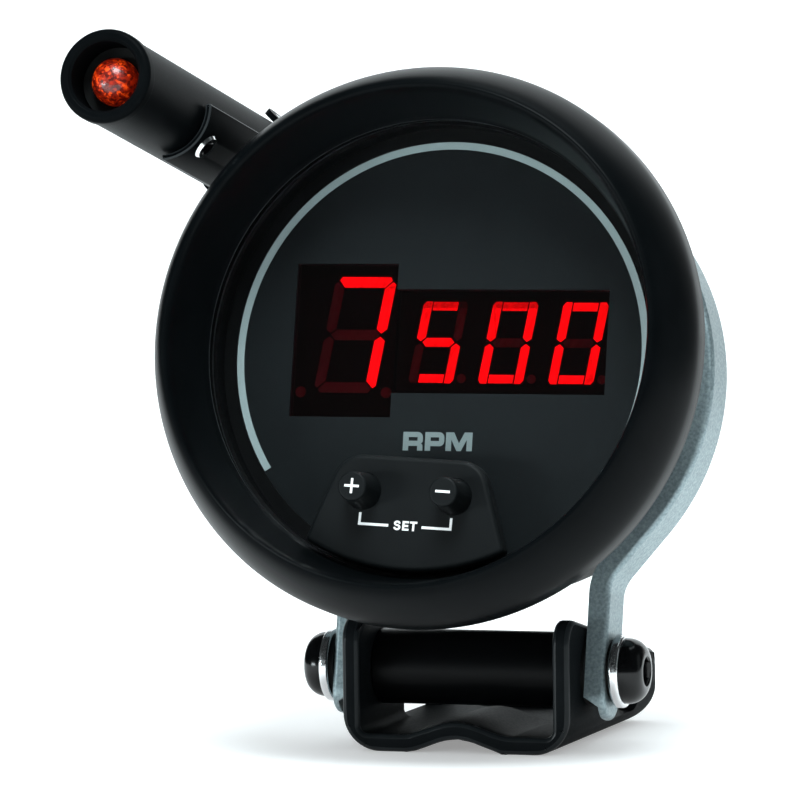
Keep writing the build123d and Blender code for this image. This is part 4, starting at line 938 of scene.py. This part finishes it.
def pale_paper():
    """Matt paper that is a little brighter to the camera and in mirrors than its light makes it."""
    material, tree, output = new_material("pale_paper")
    paper = tree.nodes.new("ShaderNodeBsdfDiffuse")
    tone = two_tone(tree, noise(tree, PAPER_PATCH_MM), (PAPER_DARK,) * 3, (PAPER_LIGHT,) * 3)
    tree.links.new(tone.outputs["Result"], paper.inputs["Color"])
    lift = tree.nodes.new("ShaderNodeEmission")
    lift.inputs["Color"].default_value = (1, 1, 1, 1)
    seen = math_step(tree, "MAXIMUM", *ray_kinds(tree))
    tree.links.new(math_step(tree, "MULTIPLY", seen, PAPER_LIFT), lift.inputs["Strength"])
    both = tree.nodes.new("ShaderNodeAddShader")
    tree.links.new(paper.outputs["BSDF"], both.inputs[0])
    tree.links.new(lift.outputs["Emission"], both.inputs[1])
    tree.links.new(both.outputs["Shader"], output.inputs["Surface"])
    return material


def floor_sweep(left=-0.95, side=0.45, front=-0.9, back=1.0, bend=0.4, height=1.1, bend_steps=24):
    """A floor that bends up into a wall, in metres."""
    line = [(front, 0.0), (back - bend, 0.0)]
    line += [(back - bend + bend * math.sin(a), bend - bend * math.cos(a))
             for a in (math.pi / 2 * i / bend_steps for i in range(1, bend_steps + 1))]
    line.append((back, height))
    mesh = bpy.data.meshes.new("paper_sweep")
    points = [(x, y, z) for y, z in line for x in (left, side)]
    faces = [(2 * i, 2 * i + 1, 2 * i + 3, 2 * i + 2) for i in range(len(line) - 1)]
    mesh.from_pydata(points, [], faces)
    mesh.shade_smooth()
    sweep = bpy.data.objects.new("paper_sweep", mesh)
    bpy.context.scene.collection.objects.link(sweep)
    mesh.materials.append(pale_paper())
    return sweep


sweep = floor_sweep()
print("sweep faces:", len(sweep.data.polygons))

# %% [markdown]
# ## Lights
#
# Black things are shown by what they mirror. A square softbox above and in front draws most of the
# highlights. A low strip at the left front gives the left sides a thin line of light, one above and
# behind lights the tops, and a weak one at the right lifts the strap's side. The direction that the
# flat dial mirrors towards the camera has no lamp in it, so the lens stays clear.

# %% Softboxes
COOL = (0.86, 0.97, 1.0)
GAUGE_MIDDLE = Vector((0.0, -0.03, 0.07))


def softbox(name, place, width, height, power):
    """A flat lamp at a place, turned towards the gauge, in metres and watts."""
    data = bpy.data.lights.new(name, "AREA")
    data.shape = "RECTANGLE"
    data.size, data.size_y = width, height
    data.energy = power
    data.color = COOL
    lamp = bpy.data.objects.new(name, data)
    bpy.context.scene.collection.objects.link(lamp)
    lamp.location = place
    lamp.rotation_mode = "QUATERNION"
    lamp.rotation_quaternion = (Vector(place) - GAUGE_MIDDLE).to_track_quat("Z", "Y")


softbox("key_box", (0.14, -0.62, 1.20), 0.55, 0.55, 19.0)
softbox("left_box", (-0.80, -0.90, 0.07), 0.45, 0.12, 4.5)
softbox("top_box", (0.10, 0.35, 1.20), 0.8, 0.5, 2.5)
softbox("right_box", (1.25, 0.35, 0.35), 0.5, 0.9, 0.4)

# %% [markdown]
# ## The world
#
# A world light fills the shadows at one plain level. The camera sees white instead, as on a page.
# Gloss would mirror all of either and turn the blacks grey, so it gets a dim world, which is white
# only in a small part of the sky behind the gauge.

# %% World
COOL_ROOM = (0.91, 0.98, 1.0)
WHITE = (1.0, 1.0, 1.0)
ROOM_LEVEL, DIM_LEVEL, WHITE_LEVEL = 0.85, 0.03, 1.0
BEHIND_FROM, BEHIND_TO = 0.75, 0.98


def sky_background(tree, strength, tint):
    """One level and colour of world light."""
    shade = tree.nodes.new("ShaderNodeBackground")
    shade.inputs["Color"].default_value = (*tint, 1)
    shade.inputs["Strength"].default_value = strength
    return shade.outputs["Background"]


def sky_mix(tree, share, first, second):
    """The first world light where the share is 0 and the second where it is 1."""
    mix = tree.nodes.new("ShaderNodeMixShader")
    tree.links.new(share, mix.inputs["Fac"])
    tree.links.new(first, mix.inputs[1])
    tree.links.new(second, mix.inputs[2])
    return mix.outputs["Shader"]


world = bpy.data.worlds.new("studio")
bpy.context.scene.world = world
world.use_nodes = True
sky = world.node_tree
sky.nodes.clear()
where = sky.nodes.new("ShaderNodeTexCoord")
parts = sky.nodes.new("ShaderNodeSeparateXYZ")
sky.links.new(where.outputs["Generated"], parts.inputs["Vector"])
behind = sky.nodes.new("ShaderNodeMapRange")
behind.inputs["From Min"].default_value = BEHIND_FROM
behind.inputs["From Max"].default_value = BEHIND_TO
sky.links.new(parts.outputs["Y"], behind.inputs["Value"])

camera_ray, mirrored = ray_kinds(sky)
mirrored_behind = math_step(sky, "MULTIPLY", mirrored, behind.outputs["Result"])
shown_white = math_step(sky, "MAXIMUM", camera_ray, mirrored_behind)
room_or_dim = sky_mix(sky, mirrored, sky_background(sky, ROOM_LEVEL, COOL_ROOM),
                      sky_background(sky, DIM_LEVEL, COOL))
shown = sky_mix(sky, shown_white, room_or_dim, sky_background(sky, WHITE_LEVEL, WHITE))
sky_out = sky.nodes.new("ShaderNodeOutputWorld")
sky.links.new(shown, sky_out.inputs["Surface"])
bpy.context.scene.view_settings.view_transform = "Standard"
print("world levels:", ROOM_LEVEL, DIM_LEVEL, WHITE_LEVEL)
